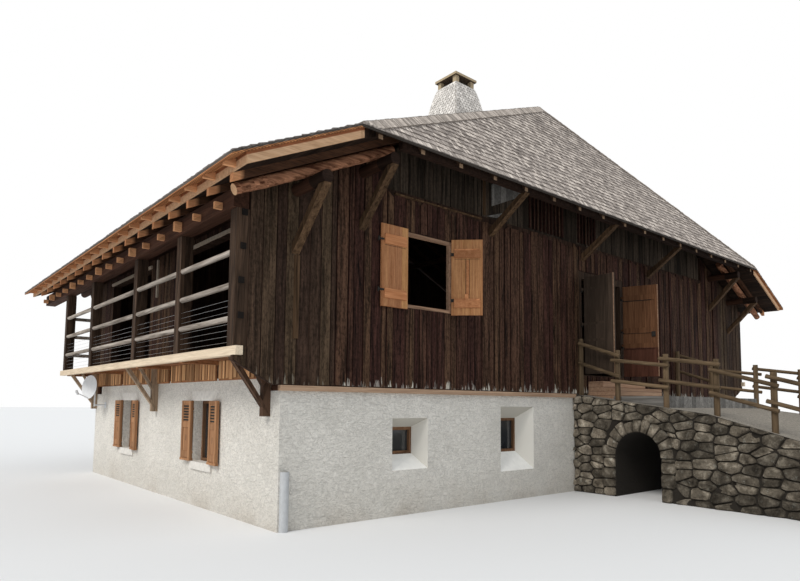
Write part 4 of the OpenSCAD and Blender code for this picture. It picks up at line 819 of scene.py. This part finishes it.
def field(rng, outline, size):
    """Rings of irregular flat stones that fill an outline."""
    seeds = seeded(rng, outline, size)
    rings = []
    for i, (y, z) in enumerate(seeds):
        ring = list(outline)
        for j, (v, w) in enumerate(seeds):
            if i != j and len(ring) > 2 and hypot(v - y, w - z) < 3.2 * size:
                ring = clip(ring, (v + y) / 2, (w + z) / 2, v - y, (w - z) * FLATNESS ** 2)
        if len(ring) > 2:
            rings.append(ring)
    return rings


def rounded(ring):
    """A ring with its corners cut."""
    sides = zip(ring, ring[1:] + ring[:1])
    return [(p[0] + (q[0] - p[0]) * t, p[1] + (q[1] - p[1]) * t) for p, q in sides for t in (0.16, 0.84)]


def stone(kit, wall, ring, high):
    """One domed stone on a ring of (a, b)."""
    rng = kit.rng
    ring = rounded(ring)
    ca, cb = middle_of(ring)
    if wall.flip:
        ring = ring[::-1]
    size = min(hypot(a - ca, b - cb) for a, b in ring)
    if size < 0.03:
        return
    tint = rng.random()
    lean = (rng.uniform(-0.02, 0.02) / size, rng.uniform(-0.02, 0.02) / size)
    foot = (min(0.007 / size, 0.3), -0.01)
    rings = []
    for shrink, h in (foot, (min(0.014 / size, 0.35), high * 0.5), (0.2, high * 0.88), (0.55, high)):
        level = []
        for a, b in ring:
            off = 0 if h < 0 else (a - ca) * lean[0] + (b - cb) * lean[1] + rng.uniform(-0.006, 0.006)
            level.append(wall.at(a + (ca - a) * shrink, b + (cb - b) * shrink, h + off))
        rings.append(level)
    kit.tube(rings, tint)
    kit.face(rings[-1], tint)


def area(ring):
    return abs(sum(p[0] * q[1] - q[0] * p[1] for p, q in zip(ring, ring[1:] + ring[:1]))) / 2


def field_stones(kit, wall):
    """Stones of a side of the ramp, kept clear of the passage."""
    for ring in field(kit.rng, RAMP, STONE_SIZE):
        middle = middle_of(ring)
        if from_arch(*middle) > ARCH_R + 0.24:
            bank = 1 if middle[0] > ARCH_MID else -1
            moved = [out_of_arch(*p, bank, FREE_R) if from_arch(*p) < FREE_R else p for p in ring]
            if area(moved) > 0.004:
                stone(kit, wall, moved, kit.rng.uniform(0.03, 0.075))


def arch_stones(kit, wall):
    """Stones round the arch, and up the two sides of the passage."""
    near = ARCH_R + ARCH_GAP
    for k in range(ARCH_STONES):
        t0, t1 = pi * k / ARCH_STONES, pi * (k + 1) / ARCH_STONES
        middle, end = (t0 + t1) / 2, ARCH_R + kit.rng.uniform(0.25, 0.36)
        ring = [(near, t0), (end, t0), (end, middle), (end, t1), (near, t1), (near, middle)]
        ring = [(ARCH_MID + r * cos(t), SPRING_Z + r * sin(t)) for r, t in ring]
        stone(kit, wall, ring, ARCH_STONE_OUT)
    for bank in (-1, 1):
        z = 0.0
        while z < SPRING_Z - 0.05:
            top = z + min(kit.rng.uniform(0.18, 0.32), SPRING_Z - z)
            end = ARCH_R + kit.rng.uniform(0.24, 0.36)
            y0, y1 = sorted((ARCH_MID + bank * near, ARCH_MID + bank * end))
            stone(kit, wall, [(y0, z), (y1, z), (y1, top), (y0, top)], ARCH_STONE_OUT)
            z = top


for (side, label), x in zip(SIDES, (RAMP_LEFT, RAMP_RIGHT)):
    stones, wall = Kit(37 + side), side_wall(x, side)
    field_stones(stones, wall)
    arch_stones(stones, wall)
    stones.build(label + "_ramp_stones", RUBBLE, "rubble")


def turned(pin, angle, corner, way):
    """A wall in a frame turned about a pin, from its lower corner. way is 1 where it looks to Y."""
    spin = Matrix.Rotation(radians(angle), 3, "Z")
    origin = Vector((*pin, 0)) + spin @ Vector(corner)
    return Wall(origin, spin @ Vector((1, 0, 0)), (0, 0, 1), spin @ Vector((0, way, 0)))


def planked(kit, wall, width, height, count, gap=0.003):
    """Upright boards side by side on a flat leaf."""
    for i in range(count):
        a0, a1 = width * i / count + gap / 2, width * (i + 1) / count - gap / 2
        # The low tint on each board's sides darkens them as painted shade.
        wall.strip(kit, a0, a1, 0, height, 0.004, kit.rng.random(), 0.002, -0.9, low=-0.002)


# Boards of the big window's shutters
BIG_W, BIG_H, BIG_FOOT, BIG_FRONT, SHUTTER_REAR = 0.63, 1.54, 3.84, -0.065, -0.025
BIG_OPEN, BIG_PIN_Y, SHADOWED = -45, -5.455, -1.2
left_pin, right_pin = [(x, BIG_PIN_Y) for x in BIG_WINDOW[:2]]
flat = turned(left_pin, 0, (-BIG_W, BIG_FRONT, BIG_FOOT), -1)
open_front = turned(right_pin, BIG_OPEN, (0, BIG_FRONT, BIG_FOOT), -1)
open_back = turned(right_pin, BIG_OPEN, (0, SHUTTER_REAR, BIG_FOOT), 1)
pine = Kit(41)
for wall, count in ((flat, 4), (open_front, 3), (open_back, 3)):
    planked(pine, wall, BIG_W, BIG_H, count, gap=0.007)
pine.build("big_shutter_boards", PINE, "orange_timber")

# Louvred shutters: middle of each window, the way it looks, foot of its shutters
WINDOWS = [((side * WALL_HALF, y), side * 90, 0.87) for side in (-1, 1) for y in (-2.35, 2.32)]
WINDOWS += [((x, BACK), 180, 0.81) for x in (-3.6, 0.0, 3.6)]
WINDOWS += [((x, JETTY), 180, 3.8) for x in (-1.6, 1.6)]
PIN_OUT, STAND_OFF, LOUVRED_FRONT = 0.45, 4, -0.06
LOUVRED_W, LOUVRED_H, STILE = 0.4, 1.21, 0.08
LOUVRES, LOUVRE_FOOT, LOUVRE_STEP, LOUVRE_GAP = 6, 0.8, 0.056, 0.034


def louvred(slats, slots, wall):
    """Stiles, rails and louvres on one face of a shutter, with dark strips behind the louvre gaps as painted
    shade.
    """
    middle, right = LOUVRED_W / 2, LOUVRED_W - STILE
    for a0, a1 in ((0, STILE), (right, LOUVRED_W)):
        ledge(slats, wall, a0, a1, 0, LOUVRED_H, 0.014)
    for b0, b1 in ((0.06, 0.2), (0.66, 0.78), (LOUVRED_H - 0.07, LOUVRED_H)):
        ledge(slats, wall, STILE, right, b0, b1, 0.014)
    ledge(slats, wall, -0.01, LOUVRED_W + 0.01, 0.0, 0.05, 0.024)
    for k in range(LOUVRES):
        b = LOUVRE_FOOT + k * LOUVRE_STEP
        ledge(slats, wall, 0.07, LOUVRED_W - 0.07, b + LOUVRE_GAP, b + 0.055, 0.013)
        # Dark strips in the iron material behind the gaps between louvres are painted shade seen through the
        # gaps.
        ledge(slots, wall, 0.06, LOUVRED_W - 0.06, b, b + LOUVRE_GAP, 0.003)
    ledge(slots, wall, middle - 0.008, middle + 0.008, 0.4, 0.52, 0.002)


slats, slots = Kit(43), Kit(44)
for (cx, cy), angle, foot in WINDOWS:
    for side in (-1, 1):
        hinge = Matrix.Rotation(radians(angle), 3, "Z") @ Vector((side * PIN_OUT, 0, 0))
        start = 0.0 if side > 0 else -LOUVRED_W
        for depth, way in ((LOUVRED_FRONT, -1), (SHUTTER_REAR, 1)):
            pin = (cx + hinge.x, cy + hinge.y)
            louvred(slats, slots, turned(pin, angle - side * STAND_OFF, (start, depth, foot), way))
slots.build("shutter_slots", IRON_AND_SHADE, "iron")
slats.build("shutter_louvres", SHUTTER, "orange_timber")

# Ledges, battens and irons of the big shutters, with dark strips painted as shadow under the ledges and
# beside the batten
batten = Kit(61)
ledge(batten, open_front, 0.3, 0.36, 0.42, 1.12, 0.026, SHADOWED)
ledge(batten, open_front, 0.27, 0.34, 0.33, 0.43, 0.024, SHADOWED)
for wall in (flat, open_front):
    for foot in (BIG_H * 0.1, BIG_H * 0.76):
        ledge(batten, wall, 0.05, 0.59, foot - 0.004, foot + 0.148, 0.031, SHADOWED)
batten.build("big_shutter_batten", PINE_X, "orange_timber")
straps_and_shadow_lines = Kit(62)
for b in (0.28, 1.22):
    ledge(straps_and_shadow_lines, flat, -0.09, 0.05, b, b + 0.04, 0.012)
    ledge(straps_and_shadow_lines, flat, -0.1, -0.07, b - 0.03, b + 0.06, 0.018)
    # Long thin dark strips on both shutters are painted shadow lines under the ledges.
    for wall in (flat, open_front):
        ledge(straps_and_shadow_lines, wall, 0.06, 0.58, b - 0.085, b - 0.072, 0.006)
    ledge(straps_and_shadow_lines, open_front, -0.01, 0.06, b - 0.02, b + 0.05, 0.012)
# Thin dark strips either side of the batten are painted as its shadow outline.
for a in (0.286, 0.362):
    ledge(straps_and_shadow_lines, open_front, a, a + 0.012, 0.32, 1.14, 0.007)
straps_and_shadow_lines.build("big_shutter_straps_and_shadow_lines", IRON_AND_SHADE, "iron")

# Pale battens of the gallery walls, panel and slats under the hip
pale_wood = Kit(63)
for side, label in SIDES:
    wall = side_wall(side * WALL_HALF, side)
    for y0, y1 in DOORWAYS:
        wall.strip(pale_wood, y0 - 0.05, y1 + 0.05, 5.265, 5.335, 0.05, 0.9)
    wall.strip(pale_wood, 0.47, 0.55, 4.5, 5.4, 0.045, 0.5)
    brace = [(-1.16, 4.96), (-1.09, 4.96), (-0.99, 5.25), (-1.06, 5.25)]
    wall.block(pale_wood, brace, 0.0, 0.045, 0.7, 0.003)
pale_wood.build("pale_battens", PALE_BOARD, "new_timber")
panel = Kit(64)
for ring in ([(-3.48, 6.4), (-2.39, 6.88), (-2.27, 7.0), (-3.32, 6.97), (-3.48, 6.89)],
             [(-3.65, 6.14), (-3.32, 6.17), (-2.81, 6.43)]):
    BAND.block(panel, ring, 0.0, 0.032, 0.5, 0.003)
panel.build("weathered_panel", KERB, "grey_timber")
slatted = Kit(65)
x = -2.2
while x < 0.5:
    if not -0.8 < x < -0.3:
        # The low tint on each slat's sides darkens them as painted shade.
        BAND.strip(slatted, x, x + 0.05, 6.16, 6.95, 0.06, slatted.rng.random(), rim=-0.2)
    x += 0.14
slatted.build("band_slats", BOARDS, "dark_boards")

# Mortises of the corner post, and single strips on the boards
mortises = Kit(66)
for x, z in ((-9.33, 5.03), (-9.34, 4.49), (-9.36, 3.95), (-9.35, 3.4)):
    GABLE.strip(mortises, x - 0.045, x + 0.045, z - 0.05, z + 0.05, 0.026, 0.5, 0.002)
mortises.build("post_mortises", SHADOW, "dark_boards")
strips = Kit(67)
# The low tint on this strip's sides darkens them as painted shade.
GABLE.strip(strips, -8.43, -8.33, 3.1, 4.5, 0.04, 0.2, 0.008, rim=-0.4)
BAND.strip(strips, -3.77, -3.7, 6.15, 6.98, 0.04, 0.9)
GABLE.strip(strips, -6.3, -3.9, 6.0, 6.03, 0.05, 0.9)
strips.build("gable_strips", BRACE, "old_timber")

# Outer ends of the rake logs, with their sawn faces
LOG_R, LOG_START, LOG_Y, LOG_SIDES, LOG_RINGS, RING_STEP = 0.095, 9.23, EDGE_FRONT + 0.7, 16, 8, 0.08
for side, label in SIDES:
    log, face = Kit(69), Kit(70)
    slope = roof_plane(PITCH, side, 0)
    start_z = roof_z(LOG_START) - UNDER_RAFTER - LOG_R / cos(PITCH)
    start = Vector((side * LOG_START, LOG_Y, start_z))
    rings = []
    for k in range(LOG_RINGS):
        r = LOG_R * (1.03 - 0.02 * k) * log.rng.uniform(0.98, 1.02)
        ring = []
        for n in range(LOG_SIDES):
            q = pi * 2 * n / LOG_SIDES
            spoke = slope.along * cos(q) + slope.out * sin(q)
            ring.append(start - slope.up * (k * RING_STEP) + spoke * r * log.rng.uniform(0.96, 1.03))
        rings.append(ring)
    log.tube(rings, 0.5, side)
    face.face(rings[-1][::side], 0.6)
    log.build(label + "_rake_log_end", RED_LOG, "old_timber")
    face.build(label + "_rake_log_face", SAWN, "orange_timber")

# Leaves of the barn door
LEAF_W, LEAF_H, LEAF_FOOT, LEAF_PIN_Y = 0.88, 2.41, 2.83, -5.474
LEAF_EDGE, LEAF_OUTER, LEAF_INNER, EDGE_STRIP = 0.04, 0.0224, 0.0674, 0.022


def dressed_leaf(label, pin_x, angle, hand, look, slot):
    """Boards on both faces of a leaf, and the strip up its free edge. hand is 1 on the left."""
    body, pin = label + "_leaf", (pin_x, LEAF_PIN_Y)
    start = LEAF_EDGE if hand > 0 else -LEAF_EDGE - LEAF_W
    outer = turned(pin, angle, (start, LEAF_OUTER, LEAF_FOOT), -1)
    inner = turned(pin, angle, (start, LEAF_INNER, LEAF_FOOT), 1)
    leaf = Kit(47 + hand)
    planked(leaf, outer, LEAF_W, LEAF_H, 5)
    planked(leaf, inner, LEAF_W, LEAF_H, 3)
    leaf.build(label + "_leaf_boards", look, slot, body)
    edge, shown = (LEAF_W - EDGE_STRIP, outer) if hand > 0 else (0.0, inner)
    stile = Kit(55)
    ledge(stile, shown, edge, edge + EDGE_STRIP, 0.0, LEAF_H, 0.007)
    stile.build(label + "_leaf_stile", FRAME, "new_timber", body)
    return inner


dressed_leaf("left", -0.21, -96, 1, LEAF_DARK, "leaf_dark")
inner = dressed_leaf("right", 1.65, 108, -1, LEAF_BROWN, "leaf_brown")
lock_and_shadow_lines = Kit(56)
ledge(lock_and_shadow_lines, inner, 0.07, 0.17, 1.04, 1.18, 0.03)
# Dark strips across the right leaf are painted shadow lines under its ledges.
for b in (0.725, 1.135, 2.0):
    ledge(lock_and_shadow_lines, inner, 0.16, LEAF_W, b, b + 0.042, 0.008)
lock_and_shadow_lines.build("right_leaf_lock_and_shadow_lines", IRON_AND_SHADE, "iron", "right_leaf")

# Wires between the posts of the galleries, apart from the middle rail
WIRE_X, WIRE_R, WIRE_FOOT, WIRE_STEP, WIRES, RAIL_Z = 9.42, 0.0025, 2.99, 0.095, 8, 3.35
SQUARE = ((1, 0), (0, 1), (-1, 0), (0, -1))
wires = Kit(53)
for side, label in SIDES:
    for p0, p1 in zip(POSTS, POSTS[1:]):
        for k in range(WIRES):
            z = WIRE_FOOT + k * WIRE_STEP
            if abs(z - RAIL_Z) > 0.05:
                ring = [(side * WIRE_X + WIRE_R * a, z + WIRE_R * b) for a, b in SQUARE]
                ends = [[(a, y, b) for a, b in ring] for y in (p0 + POST_HALF, p1 - POST_HALF)]
                wires.slab(*ends, 0.5)
wires.build("gallery_wires", STEEL, "iron")

# Floor
bpy.ops.mesh.primitive_plane_add(size=400)
ground = bpy.context.object
ground.name = "floor"
pale = Tree("pale_floor", 0.9)
pale.shader.inputs["Base Color"].default_value = (0.78, 0.78, 0.78, 1)
ground.data.materials.append(pale.mat)

# A cool sky that is white where it is seen, in gloss and through glass too
scene = bpy.context.scene
world = bpy.data.worlds.new("studio")
scene.world = world
world.use_nodes = True
nodes, links = world.node_tree.nodes, world.node_tree.links
lit = nodes["Background"]
lit.inputs["Color"].default_value = (0.9, 0.95, 1.0, 1)
lit.inputs["Strength"].default_value = 0.75
seen = nodes.new("ShaderNodeBackground")
seen.inputs["Color"].default_value = (1, 1, 1, 1)
path = nodes.new("ShaderNodeLightPath")
shiny, shown = nodes.new("ShaderNodeMath"), nodes.new("ShaderNodeMath")
shiny.operation = shown.operation = "ADD"
shown.use_clamp = True
blend = nodes.new("ShaderNodeMixShader")
links.new(path.outputs["Is Glossy Ray"], shiny.inputs[0])
links.new(path.outputs["Is Transmission Ray"], shiny.inputs[1])
links.new(path.outputs["Is Camera Ray"], shown.inputs[0])
links.new(shiny.outputs[0], shown.inputs[1])
for index, source in enumerate((shown, lit, seen)):
    links.new(source.outputs[0], blend.inputs[index])
links.new(blend.outputs[0], nodes["World Output"].inputs[0])

# Soft sun
SUN_WAY = Vector((0.92, 0.15, -0.9))
light = bpy.data.lights.new("soft_key", "SUN")
light.energy = 1.9
light.angle = radians(25)
light.color = (1.0, 0.97, 0.92)
placed("soft_key", light).rotation_euler = SUN_WAY.to_track_quat("-Z", "Y").to_euler()

# Camera
CAMERA_PLACE = (-13.618, -14.331, 2.056)
yaw, lift, roll = radians(40.15), radians(4.64), radians(0.57)
optics = bpy.data.cameras.new("camera")
optics.lens = 28.04
optics.sensor_width = 36.0
optics.shift_y = 0.0785
optics.clip_end = 500.0
aim = Matrix.Rotation(-yaw, 4, "Z") @ Matrix.Rotation(pi / 2 + lift, 4, "X")
scene.camera = placed("camera", optics)
scene.camera.matrix_world = Matrix.Translation(CAMERA_PLACE) @ aim @ Matrix.Rotation(roll, 4, "Z")
scene.view_settings.view_transform = "Standard"
